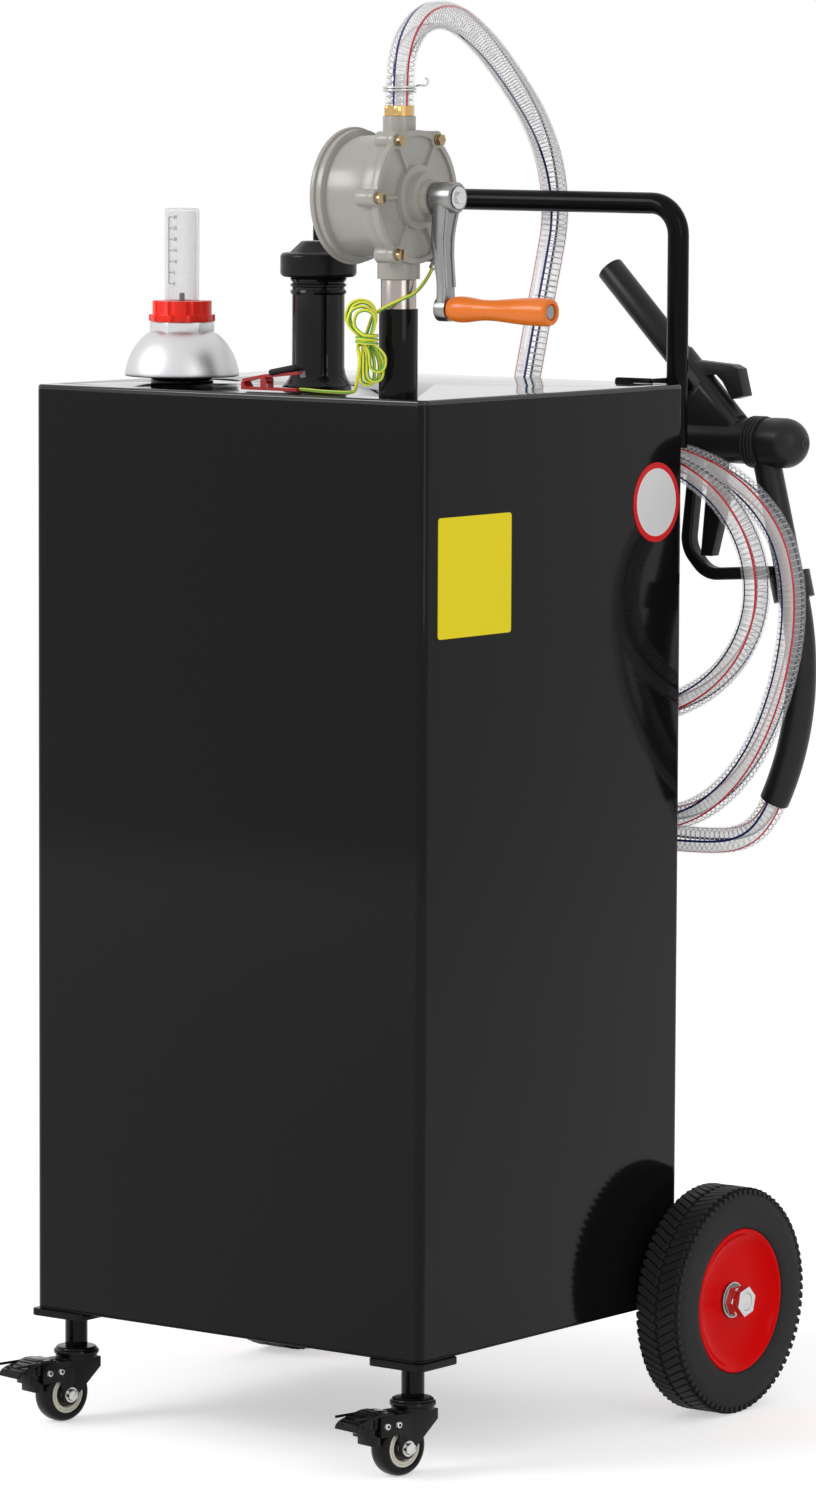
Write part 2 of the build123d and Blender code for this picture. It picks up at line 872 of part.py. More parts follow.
with BuildPart() as axle_nuts:
    bracket_out_x = bracket_x + bracket_sheet
    for side in (-1, 1):
        washer_x = hub_outer_x + part_gap
        nut_x = washer_x + axle_washer
        washer_start = washer_x if side > 0 else -nut_x
        spacer_start = bracket_out_x if side > 0 else -(hub_outer_x - hub_length - part_gap)
        ring(
            facing_side(washer_start, wheel_axle_y, wheel_radius), axle_washer_radius,
            axle_radius, axle_washer,
        )
        for number in range(axle_nut_count):
            near_x = nut_x + number * axle_nut_height
            nut_start = near_x if side > 0 else -near_x - axle_nut_height
            with BuildSketch(facing_side(nut_start, wheel_axle_y, wheel_radius)) as face:
                RegularPolygon(axle_nut_flats / 2, 6, major_radius=False, rotation=number * axle_nut_turn)
                Circle(axle_radius, mode=Mode.SUBTRACT)
            extrude(face.sketch, amount=axle_nut_height)
        ring(
            facing_side(spacer_start, wheel_axle_y, wheel_radius), spacer_radius, axle_radius,
            hub_outer_x - hub_length - part_gap - bracket_out_x,
        )
axle_nuts.part.label = "axle_nuts"
export_step(axle_nuts.part, "parts/axle_nuts.step")

with BuildPart() as axle_brackets:
    for side in (-1, 1):
        middle_x = side * (bracket_x + bracket_sheet / 2)
        with BuildSketch(facing_side(middle_x, 0, 0)) as face:
            with BuildLine():
                Polyline(
                    (rear_face, ground_clearance),
                    (rear_face, ground_clearance + bracket_height),
                    (rear_face + bracket_boss_radius / 2, ground_clearance + bracket_height),
                    (wheel_axle_y + bracket_boss_radius, wheel_radius + bracket_boss_radius / 3),
                    (wheel_axle_y, wheel_radius - bracket_boss_radius),
                    close=True,
                )
            make_face()
            with Locations((wheel_axle_y, wheel_radius)):
                Circle(bracket_boss_radius)
                Circle(axle_radius, mode=Mode.SUBTRACT)
        extrude(face.sketch, amount=bracket_sheet / 2, both=True)
axle_brackets.part.label = "axle_brackets"
export_step(axle_brackets.part, "parts/axle_brackets.step")

# Push handle, and the hooks on the rear wall

with BuildPart() as push_handle:
    handle_y = rear_face + handle_radius
    with BuildLine() as handle_line:
        FilletPolyline(
            place(-handle_x, handle_y, handle_bottom),
            place(-handle_x, handle_y, handle_top),
            place(handle_x, handle_y, handle_top),
            place(handle_x, handle_y, handle_bottom),
            radius=handle_bend,
        )
    with BuildSketch(level(-handle_x, handle_y, handle_bottom)):
        Circle(handle_radius)
        Circle(handle_radius - handle_wall, mode=Mode.SUBTRACT)
    sweep(path=handle_line.line)
push_handle.part.label = "push_handle"
export_step(push_handle.part, "parts/push_handle.step")

hook_z = loop_top - hose_radius - part_gap - hook_radius
with BuildPart() as rear_hooks:
    with BuildSketch(facing_front(hook_x, rear_face + hook_plate, hook_z)) as face:
        RectangleRounded(hook_plate_width, hook_plate_height, hook_plate)
    extrude(face.sketch, amount=hook_plate)
    with BuildLine() as hook_line:
        FilletPolyline(
            place(hook_x, rear_face + hook_plate, hook_z),
            place(hook_x, rear_face + hook_reach, hook_z),
            place(hook_x, rear_face + hook_reach, hook_z + hook_lip),
            radius=hook_bend,
        )
    with BuildSketch(facing_front(hook_x, rear_face + hook_plate, hook_z)) as face:
        Circle(hook_radius)
    sweep(face.sketch, path=hook_line.line)
    saddle_along = spout_shown + holder_length / 2
    saddle_way = Vector(math.cos(slope), 0, -math.sin(slope))
    saddle_at = nozzle_place(spout_tip) + saddle_way * saddle_along
    saddle_plane = Plane(origin=saddle_at, x_dir=(0, 1, 0), z_dir=saddle_way)
    saddle_outer = body_radius + holder_gap + holder_sheet
    with BuildSketch(saddle_plane) as face:
        Circle(saddle_outer)
        Circle(body_radius + holder_gap, mode=Mode.SUBTRACT)
        with Locations((0, saddle_outer)):
            Rectangle(2 * saddle_outer, 2 * saddle_outer, mode=Mode.SUBTRACT)
    extrude(face.sketch, amount=holder_length)
    arm_reach = nozzle_y - rear_face
    with BuildSketch(saddle_plane) as face:
        with Locations((-arm_reach / 2, -saddle_outer + holder_sheet / 2)):
            Rectangle(arm_reach, holder_sheet)
    extrude(face.sketch, amount=holder_length)
    foot_x = saddle_at.X - tank_x + (holder_length / 2 - saddle_outer) * math.cos(slope)
    foot_z = saddle_at.Z - (holder_length / 2 + saddle_outer) * math.sin(slope)
    with BuildSketch(facing_front(foot_x, rear_face + holder_sheet, foot_z - holder_drop)) as face:
        RectangleRounded(holder_plate_height, holder_plate_height, holder_sheet)
    extrude(face.sketch, amount=holder_sheet)
rear_hooks.part.label = "rear_hooks"
export_step(rear_hooks.part, "parts/rear_hooks.step")

# Riser, suction tube and pump

riser_top = low_port_bottom + pipe_engagement

with BuildPart() as riser_sleeve:
    ring(
        level(riser_x, riser_y, wall_top - sleeve_sink), sleeve_radius, pipe_radius,
        sleeve_top - wall_top + sleeve_sink,
    )
riser_sleeve.part.label = "riser_sleeve"
export_step(riser_sleeve.part, "parts/riser_sleeve.step")

with BuildPart() as riser_pipe:
    ring(
        level(riser_x, riser_y, wall_top - sleeve_sink), pipe_radius, pipe_bore_radius,
        riser_top - wall_top + sleeve_sink,
    )
riser_pipe.part.label = "riser_pipe"
export_step(riser_pipe.part, "parts/riser_pipe.step")

suction_bottom = ground_clearance + sheet + suction_foot
with BuildPart() as suction_tube:
    ring(
        level(riser_x, riser_y, suction_bottom), pipe_bore_radius, pipe_bore_radius - suction_wall,
        riser_top - suction_bottom,
    )
    ring(
        level(riser_x, riser_y, suction_bottom - strainer_wall), strainer_radius, pipe_bore_radius,
        strainer_height,
    )
    ring(
        level(riser_x, riser_y, suction_bottom), strainer_radius - strainer_wall, pipe_bore_radius,
        strainer_height - 2 * strainer_wall, Mode.SUBTRACT,
    )
    rod(level(riser_x, riser_y, suction_bottom - strainer_wall), pipe_bore_radius, strainer_wall)
    with BuildSketch(level(riser_x, riser_y, suction_bottom + strainer_wall)) as slots:
        with PolarLocations(strainer_radius, strainer_slots):
            Rectangle(2 * strainer_slot_width, strainer_slot_width)
    extrude(slots.sketch, amount=strainer_height - 4 * strainer_wall, mode=Mode.SUBTRACT)
suction_tube.part.label = "suction_tube"
export_step(suction_tube.part, "parts/suction_tube.step")

ring_end_x = cover_x - cover_sheet
ring_start_x = ring_end_x - ring_length
chamber_start_x = back_x + back_sheet + chamber_wall


def pump_plane(x):
    return facing_side(x, riser_y, pump_height)


def lugged_face(plane, radius):
    # A round face with a lug for each cover bolt
    with BuildSketch(plane) as face:
        Circle(radius)
        with PolarLocations(pump_bolt_circle, pump_bolts_count):
            Circle(pump_lug_radius)
    return face.sketch


with BuildPart() as pump_housing:
    rod(pump_plane(back_x + back_sheet), drum_radius, ring_end_x - back_x - back_sheet)
    rod(pump_plane(back_x + back_sheet), back_step_radius, back_step)
    extrude(lugged_face(pump_plane(ring_start_x), ring_radius), amount=ring_length)
    rod(level(riser_x, riser_y, low_port_bottom), low_port_radius, pump_height - low_port_bottom)
    rod(level(riser_x, riser_y, pump_height), high_port_radius, high_port_top - pump_height)
    extrude(
        lugged_face(pump_plane(ring_end_x), cover_radius), amount=low_port_radius, mode=Mode.SUBTRACT
    )
    with BuildSketch(pump_plane(chamber_start_x)) as face:
        with Locations((chamber_offset, 0)):
            Circle(chamber_radius)
    extrude(face.sketch, amount=ring_end_x - chamber_start_x, mode=Mode.SUBTRACT)
    rod(
        level(riser_x, riser_y, low_port_bottom), pipe_radius, pipe_engagement, Mode.SUBTRACT
    )
    rod(
        level(riser_x, riser_y, low_port_bottom), port_bore_radius,
        high_port_top - low_port_bottom, Mode.SUBTRACT,
    )
    rod(
        pump_plane(back_x + back_sheet), shaft_radius + running_gap, chamber_wall, Mode.SUBTRACT
    )
    with BuildSketch(pump_plane(ring_start_x)) as face:
        with PolarLocations(pump_bolt_circle, pump_bolts_count):
            Circle(pump_bolt_radius)
    extrude(face.sketch, amount=ring_length, mode=Mode.SUBTRACT)
pump_housing.part.label = "pump_housing"
export_step(pump_housing.part, "parts/pump_housing.step")

with BuildPart() as pump_back_plate:
    rod(pump_plane(back_x), back_radius, back_sheet)
    rod(pump_plane(back_x + back_sheet - sheet), shaft_radius + part_gap, sheet, Mode.SUBTRACT)
    chamfer(pump_back_plate.edges().group_by(Axis.X)[0], length=back_sheet / 4)
pump_back_plate.part.label = "pump_back_plate"
export_step(pump_back_plate.part, "parts/pump_back_plate.step")

with BuildPart() as pump_cover:
    extrude(lugged_face(pump_plane(ring_end_x), cover_radius), amount=cover_sheet)
    ring(pump_plane(cover_x), cover_radius, cover_radius - bead_width, rib_height)
    rod(pump_plane(cover_x), boss_radius, boss_height)
    rod(pump_plane(cover_x), nose_radius, nose_height)
    rod(pump_plane(cover_x), nose_tip_radius, nose_tip_height)
    with BuildSketch(pump_plane(cover_x)) as ribs:
        with PolarLocations((boss_radius + cover_radius) / 2 - bead_width / 2, pump_bolts_count):
            Rectangle(cover_radius - boss_radius, rib_width)
    extrude(ribs.sketch, amount=rib_height)
    with BuildSketch(pump_plane(cover_x)) as lugs:
        with PolarLocations(pump_bolt_circle, pump_bolts_count):
            Circle(pump_lug_radius)
    extrude(lugs.sketch, amount=rib_height)
    rod(
        pump_plane(ring_end_x), shaft_radius + bush_wall, cover_sheet + nose_tip_height, Mode.SUBTRACT
    )
    with BuildSketch(pump_plane(ring_end_x)) as face:
        with PolarLocations(pump_bolt_circle, pump_bolts_count):
            Circle(pump_bolt_radius)
    extrude(face.sketch, amount=cover_sheet + rib_height, mode=Mode.SUBTRACT)
pump_cover.part.label = "pump_cover"
export_step(pump_cover.part, "parts/pump_cover.step")

with BuildPart() as pump_bolts:
    with BuildSketch(pump_plane(ring_start_x)) as face:
        with PolarLocations(pump_bolt_circle, pump_bolts_count):
            Circle(pump_bolt_radius)
    extrude(face.sketch, amount=ring_length + cover_sheet + rib_height + terminal_sheet)
    with BuildSketch(pump_plane(cover_x + rib_height)) as washers:
        for number in range(pump_bolts_count - 1):
            turn = math.radians(number * 360 / pump_bolts_count)
            with Locations((pump_bolt_circle * math.cos(turn), pump_bolt_circle * math.sin(turn))):
                Circle(pump_bolt_head)
    extrude(washers.sketch, amount=terminal_sheet)
    with BuildSketch(pump_plane(cover_x + rib_height + terminal_sheet)) as face:
        with PolarLocations(pump_bolt_circle, pump_bolts_count):
            RegularPolygon(pump_bolt_head, 6)
    extrude(face.sketch, amount=pump_bolt_head_height)
pump_bolts.part.label = "pump_bolts"
export_step(pump_bolts.part, "parts/pump_bolts.step")

with BuildPart() as pump_bush:
    ring(
        pump_plane(ring_end_x), shaft_radius + bush_wall, shaft_radius + running_gap,
        cover_sheet + nose_tip_height,
    )
pump_bush.part.label = "pump_bush"
export_step(pump_bush.part, "parts/pump_bush.step")

barb_foot = high_port_top + hex_height
with BuildPart() as outlet_barb:
    with BuildSketch(level(riser_x, riser_y, high_port_top)) as face:
        RegularPolygon(hex_flats / 2, 6, major_radius=False)
    extrude(face.sketch, amount=hex_height)
    rod(level(riser_x, riser_y, barb_foot), barb_radius, barb_length)
    rod(
        level(riser_x, riser_y, high_port_top - overrun), barb_bore_radius,
        hex_height + barb_length + 2 * overrun, Mode.SUBTRACT,
    )
outlet_barb.part.label = "outlet_barb"
export_step(outlet_barb.part, "parts/outlet_barb.step")

with BuildPart() as hose_clamp:
    clamp_z = barb_foot + clamp_drop
    ring(
        level(riser_x, riser_y, clamp_z), hose_radius + clamp_band, hose_radius, clamp_height
    )
    screw_y = riser_y - hose_radius - clamp_screw_radius
    rod(
        facing_side(riser_x - clamp_screw_length / 3, screw_y, clamp_z + clamp_height / 2),
        clamp_screw_radius, clamp_screw_length,
    )
hose_clamp.part.label = "hose_clamp"
export_step(hose_clamp.part, "parts/hose_clamp.step")

# Crank: shaft with rotor and vanes, arm and loose grip

rotor_start_x = chamber_start_x + part_gap
rotor_length = ring_end_x - part_gap - rotor_start_x
with BuildPart() as crank_shaft:
    rod(
        pump_plane(back_x + back_sheet + part_gap), shaft_radius,
        shaft_end_x - back_x - back_sheet - part_gap,
    )
    rod(pump_plane(rotor_start_x), rotor_radius, rotor_length)
    with BuildSketch(pump_plane(rotor_start_x)) as slots:
        with PolarLocations((rotor_radius + shaft_radius) / 2 + vane_thickness, vane_count):
            Rectangle(rotor_radius - shaft_radius, vane_thickness)
    extrude(slots.sketch, amount=rotor_length, mode=Mode.SUBTRACT)
crank_shaft.part.label = "crank_shaft"
export_step(crank_shaft.part, "parts/crank_shaft.step")

with BuildPart() as pump_vanes:
    vane_foot = (rotor_radius + shaft_radius) / 2 + vane_thickness - (rotor_radius - shaft_radius) / 2
    vane_foot = vane_foot + part_gap
    with BuildSketch(pump_plane(rotor_start_x)) as vanes:
        with PolarLocations((vane_foot + vane_reach) / 2, vane_count):
            Rectangle(vane_reach - vane_foot, vane_thickness - part_gap / 3)
    extrude(vanes.sketch, amount=rotor_length)
pump_vanes.part.label = "pump_vanes"
export_step(pump_vanes.part, "parts/pump_vanes.step")

crank_end_z = pump_height - crank_radius
with BuildPart() as crank_arm:
    rod(pump_plane(crank_hub_x), crank_hub_radius, crank_hub_length)
    rod(
        facing_side(crank_hub_x + crank_back_set, riser_y, crank_end_z), crank_boss_radius,
        crank_boss_length,
    )
    bar_top_x = crank_hub_x + crank_bar_thick / 2
    bar_end_x = crank_hub_x + crank_back_set + crank_boss_length / 2
    with BuildLine() as bar_line:
        FilletPolyline(
            place(bar_top_x, riser_y, pump_height),
            place(bar_top_x - crank_back_set / 2, riser_y, pump_height - crank_radius * crank_knee_shares[0]),
            place(bar_end_x, riser_y, pump_height - crank_radius * crank_knee_shares[1]),
            place(bar_end_x, riser_y, crank_end_z),
            radius=crank_bend,
        )
    bar_way = bar_line.line % 0
    with BuildSketch(Plane(origin=bar_line.line @ 0, x_dir=(0, 1, 0), z_dir=bar_way)) as face:
        RectangleRounded(crank_bar_width, crank_bar_thick, crank_bar_thick / 3)
    sweep(face.sketch, path=bar_line.line)
    rod(
        pump_plane(crank_hub_x - overrun), shaft_radius, crank_hub_length + 2 * overrun, Mode.SUBTRACT
    )
    rod(
        facing_side(crank_hub_x + crank_back_set, riser_y, crank_end_z), spindle_radius,
        grip_end_x - grip_recess - crank_hub_x - crank_back_set,
    )
    rod(
        facing_side(grip_end_x - grip_recess + part_gap, riser_y, crank_end_z), spindle_head_radius,
        grip_recess / 2,
    )
    rod(
        facing_side(grip_end_x - grip_recess, riser_y, crank_end_z), spindle_radius, part_gap
    )
crank_arm.part.label = "crank_arm"
export_step(crank_arm.part, "parts/crank_arm.step")

with BuildPart() as crank_grip:
    with BuildSketch(facing_front(0, riser_y, crank_end_z)) as face:
        with BuildLine():
            stops = [grip_start_x + grip_length * share for share in grip_shares]
            bore = spindle_radius + running_gap
            Polyline(
                (stops[0], grip_bulge_radius * grip_neck_share),
                (grip_start_x, grip_bulge_radius * grip_lip_share),
                (grip_start_x, bore),
                (grip_end_x - grip_recess, bore),
                (grip_end_x - grip_recess, grip_waist_radius * grip_lip_share),
                (grip_end_x, grip_waist_radius * grip_lip_share),
                (grip_end_x, grip_end_radius - grip_recess / 4),
                (stops[4], grip_end_radius),
            )
            Spline(
                (stops[4], grip_end_radius),
                (stops[3], (grip_waist_radius + grip_end_radius) / 2),
                (stops[2], grip_waist_radius),
                (stops[1], grip_bulge_radius),
                (stops[0], grip_bulge_radius * grip_neck_share),
            )
        make_face()
    revolve(face.sketch, axis=side_axis(riser_y, crank_end_z))
crank_grip.part.label = "crank_grip"
export_step(crank_grip.part, "parts/crank_grip.step")

# Filler neck, its seal and its cap

with BuildPart() as filler_neck:
    neck_seat = top_face + crown(neck_x, neck_y) - sheet / 3
    flare = []
    for out_share, up_share in neck_flare_shares:
        flare_radius = neck_radius + out_share * (neck_foot_radius - neck_radius)
        flare.append((flare_radius, neck_seat + up_share * neck_foot_height))
    outline = (
        (neck_radius - neck_wall, wall_top - neck_sink),
        (neck_radius, wall_top - neck_sink),
        (neck_radius, neck_seat),
        (neck_foot_radius, neck_seat),
        *flare,
        (neck_radius, neck_seat + neck_foot_height),
        (neck_radius, neck_bead_height - neck_bead),
        (neck_radius + neck_bead, neck_bead_height - neck_bead / 2),
        (neck_radius + neck_bead, neck_bead_height + neck_bead / 2),
        (neck_radius, neck_bead_height + neck_bead),
        (neck_radius, neck_top),
        (neck_radius - neck_wall, neck_top),
    )
    turned(facing_front(neck_x, neck_y, 0), upright_axis(neck_x, neck_y), outline)
    add(tank_top.part, mode=Mode.SUBTRACT)
filler_neck.part.label = "filler_neck"
export_step(filler_neck.part, "parts/filler_neck.step")

cap_side_top = cap_bottom + cap_side
seal_bottom = neck_top + part_gap / 3
with BuildPart() as cap_seal:
    ring(
        level(neck_x, neck_y, seal_bottom), neck_radius, neck_radius - neck_wall - sheet, seal_thickness
    )
cap_seal.part.label = "cap_seal"
export_step(cap_seal.part, "parts/cap_seal.step")

with BuildPart() as filler_cap:
    cap_ceiling = seal_bottom + seal_thickness + part_gap / 3
    outline = (
        (0, cap_ceiling),
        (neck_radius + running_gap * 2, cap_ceiling),
        (neck_radius + running_gap * 2, cap_bottom),
        (cap_radius, cap_bottom),
        (cap_radius, cap_side_top),
        (0, cap_side_top),
    )
    turned(facing_front(neck_x, neck_y, 0), upright_axis(neck_x, neck_y), outline)
    cap_edges = filler_cap.edges().filter_by(GeomType.CIRCLE).filter_by(
        lambda edge: edge.radius > cap_radius - part_gap
    )
    fillet(cap_edges, radius=cap_round)
    crown_faces = []
    for crown_radius, crown_z in (
        (cap_shoulder_radius, cap_side_top), (cap_top_radius, cap_side_top + cap_crown)
    ):
        with BuildSketch(level(neck_x, neck_y, crown_z)) as face:
            RegularPolygon(crown_radius, cap_sides)
        crown_faces.append(face.sketch)
    loft(crown_faces)
filler_cap.part.label = "filler_cap"
export_step(filler_cap.part, "parts/filler_cap.step")

# Fuel gauge: dome on the tank, clear tube, and a float arm that lifts the pointer rod

gauge_axis = upright_axis(gauge_x, gauge_y)
with BuildPart() as gauge_bung:
    ring(
        level(gauge_x, gauge_y, wall_top - bung_sink), bung_radius, bung_bore_radius,
        bung_top - wall_top + bung_sink,
    )
gauge_bung.part.label = "gauge_bung"
export_step(gauge_bung.part, "parts/gauge_bung.step")

guide_bore_radius = stem_tube_radius - stem_tube_wall
pivot_z = stem_bottom - pivot_drop
with BuildPart() as gauge_stem:
    rod(level(gauge_x, gauge_y, bung_top), bung_radius - sheet, stem_flange)
    rod(level(gauge_x, gauge_y, stem_bottom), stem_tube_radius, bung_top - stem_bottom)
    rod(
        level(gauge_x, gauge_y, stem_bottom), guide_bore_radius, bung_top - stem_bottom,
        Mode.SUBTRACT,
    )
    rod(
        level(gauge_x, gauge_y, stem_bottom), rod_radius + part_gap,
        bung_top + stem_flange - stem_bottom + overrun, Mode.SUBTRACT,
    )
    for side in (-1, 1):
        ear_x = gauge_x + side * (guide_bore_radius + ear_sheet / 2)
        with BuildSketch(facing_side(ear_x, gauge_y, pivot_z)) as face:
            with Locations((0, pivot_drop / 2)):
                Rectangle(ear_depth, pivot_drop + 2 * ear_sheet)
            Circle(ear_depth / 2)
            Circle(pivot_radius, mode=Mode.SUBTRACT)
        extrude(face.sketch, amount=ear_sheet / 2, both=True)
    rod(
        facing_side(gauge_x - guide_bore_radius - ear_sheet, gauge_y, pivot_z), pivot_radius,
        2 * (guide_bore_radius + ear_sheet),
    )
gauge_stem.part.label = "gauge_stem"
export_step(gauge_stem.part, "parts/gauge_stem.step")

with BuildPart() as gauge_dome:
    with BuildSketch(facing_front(gauge_x, gauge_y, 0)) as face:
        with BuildLine():
            shoulder = (dome_radius * dome_shoulder_share, bung_top + dome_shoulder / 2)
            Line((0, bung_top + stem_flange), (bung_radius, bung_top + stem_flange))
            Line((bung_radius, bung_top + stem_flange), (bung_radius, bung_top))
            Line((bung_radius, bung_top), (dome_radius, bung_top))
            Line((dome_radius, bung_top), (dome_radius, bung_top + dome_lip))
            ThreePointArc(
                (dome_radius, bung_top + dome_lip), shoulder, (collar_radius, dome_top)
            )
            Line((collar_radius, dome_top), (collar_radius, dome_top + collar_height))
            Line((collar_radius, dome_top + collar_height), (0, dome_top + collar_height))
            Line((0, dome_top + collar_height), (0, bung_top + stem_flange))
        make_face()
    revolve(face.sketch, axis=gauge_axis)
    inner_wall = dome_radius - dome_wall
    with BuildSketch(facing_front(gauge_x, gauge_y, 0)) as face:
        with BuildLine():
            inner_shoulder = (shoulder[0] - dome_wall, shoulder[1] - dome_wall / 2)
            Line((0, bung_top + stem_flange), (inner_wall, bung_top + stem_flange))
            Line((inner_wall, bung_top + stem_flange), (inner_wall, bung_top + dome_lip))
            ThreePointArc(
                (inner_wall, bung_top + dome_lip), inner_shoulder,
                (collar_radius - dome_wall, dome_top - dome_wall),
            )
            Line((collar_radius - dome_wall, dome_top - dome_wall), (0, dome_top - dome_wall))
            Line((0, dome_top - dome_wall), (0, bung_top + stem_flange))
        make_face()
    revolve(face.sketch, axis=gauge_axis, mode=Mode.SUBTRACT)
    rod(level(gauge_x, gauge_y, bung_top - overrun), bung_radius, stem_flange + 2 * overrun, Mode.SUBTRACT)
    rod(
        level(gauge_x, gauge_y, bung_top), guide_bore_radius,
        dome_top + collar_height - bung_top + overrun, Mode.SUBTRACT,
    )
gauge_dome.part.label = "gauge_dome"
export_step(gauge_dome.part, "parts/gauge_dome.step")

collar_top = dome_top + collar_height
with BuildPart() as gauge_ring_nut:
    ring(level(gauge_x, gauge_y, collar_top), nut_radius, gauge_tube_radius + part_gap / 3, nut_height)
    with BuildSketch(level(gauge_x, gauge_y, collar_top)) as face:
        Circle(nut_flange_radius - nut_lobe_radius / 2)
        with PolarLocations(nut_flange_radius - nut_lobe_radius, nut_lobes):
            Circle(nut_lobe_radius)
        Circle(gauge_tube_radius + part_gap / 3, mode=Mode.SUBTRACT)
    extrude(face.sketch, amount=nut_flange)
    with BuildSketch(level(gauge_x, gauge_y, collar_top + nut_flange)) as notches:
        with PolarLocations(nut_radius + nut_lobe_radius / 3, nut_lobes):
            Circle(nut_lobe_radius)
    extrude(notches.sketch, amount=nut_height, mode=Mode.SUBTRACT)
gauge_ring_nut.part.label = "gauge_ring_nut"
export_step(gauge_ring_nut.part, "parts/gauge_ring_nut.step")

tube_top = collar_top + nut_height + gauge_tube_length
with BuildPart() as gauge_tube:
    rod(level(gauge_x, gauge_y, collar_top), gauge_tube_radius, tube_top - collar_top)
    rod(
        level(gauge_x, gauge_y, collar_top), gauge_tube_radius - gauge_tube_wall,
        tube_top - collar_top - gauge_tube_cap, Mode.SUBTRACT,
    )
    fillet(gauge_tube.edges().group_by(Axis.Z)[-1], radius=gauge_tube_wall / 2)
gauge_tube.part.label = "gauge_tube"
export_step(gauge_tube.part, "parts/gauge_tube.step")

pointer_top = collar_top + nut_height + pointer_height * pointer_show_share
with BuildPart() as pointer_rod:
    rod(level(gauge_x, gauge_y, rod_bottom), rod_radius, pointer_top - rod_bottom)
    rod(level(gauge_x, gauge_y, pointer_top - pointer_height), pointer_radius, pointer_height)
    fillet(pointer_rod.edges().group_by(Axis.Z)[-1], radius=pointer_height / 4)
pointer_rod.part.label = "pointer_rod"
export_step(pointer_rod.part, "parts/pointer_rod.step")

rest = math.radians(arm_rest_angle)
arm_way = (0, math.cos(rest), -math.sin(rest))
arm_plane = Plane(origin=place(gauge_x, gauge_y, pivot_z), x_dir=(1, 0, 0), z_dir=arm_way)
arm_side = guide_bore_radius - part_gap
with BuildPart() as float_arm:
    rod(facing_side(gauge_x - arm_side, gauge_y, pivot_z), arm_hub_radius, 2 * arm_side)
    rod(arm_plane, arm_radius, arm_length)
    rod(
        facing_side(gauge_x - arm_side - overrun, gauge_y, pivot_z), pivot_radius + running_gap,
        2 * (arm_side + overrun), Mode.SUBTRACT,
    )
float_arm.part.label = "float_arm"
export_step(float_arm.part, "parts/float_arm.step")

with BuildPart() as gauge_float:
    float_plane = arm_plane.offset(arm_length - float_radius)
    float_centre = float_plane.origin
    crosswise = Plane(
        origin=float_centre - Vector(float_length / 2, 0, 0), x_dir=(0, 1, 0), z_dir=(1, 0, 0)
    )
    rod(crosswise, float_radius, float_length)
    fillet(gauge_float.edges().filter_by(GeomType.CIRCLE), radius=float_radius / 3)
    rod(arm_plane, arm_radius, arm_length, Mode.SUBTRACT)
gauge_float.part.label = "gauge_float"
export_step(gauge_float.part, "parts/gauge_float.step")

# Nozzle, hanging behind the tank in one plane square to Y

spout_way = Vector(math.cos(slope), 0, -math.sin(slope))
spout_plane = Plane(origin=nozzle_place(spout_tip), x_dir=(0, 1, 0), z_dir=spout_way)
chest_plane = facing_side(chest_x, nozzle_y, chest_z)
grip_foot = nozzle_place(grip_bottom)
with BuildLine() as sleeve_line:
    ThreePointArc(
        nozzle_place(hand_sleeve_bottom), nozzle_place(hand_sleeve_middle), grip_foot
    )
grip_plane = Plane(origin=grip_foot, x_dir=(0, 1, 0), z_dir=sleeve_line.line % 1)
pivot_at = nozzle_place(lever_pivot)
with BuildPart() as nozzle_spout:
    rod(spout_plane, spout_radius, spout_shown)
    rod(spout_plane, spout_radius - spigot_step, spout_length)
    rod(spout_plane, spout_radius - spout_wall, spout_length, Mode.SUBTRACT)
nozzle_spout.part.label = "nozzle_spout"
export_step(nozzle_spout.part, "parts/nozzle_spout.step")

with BuildPart() as nozzle_web:
    cut_plate(facing_front(chest_x, nozzle_y, chest_z), body_web, body_web_width)
    web_edges = ShapeList()
    for face in nozzle_web.faces().filter_by(Axis.Y):
        web_edges += face.edges()
    fillet(web_edges, radius=body_web_round)

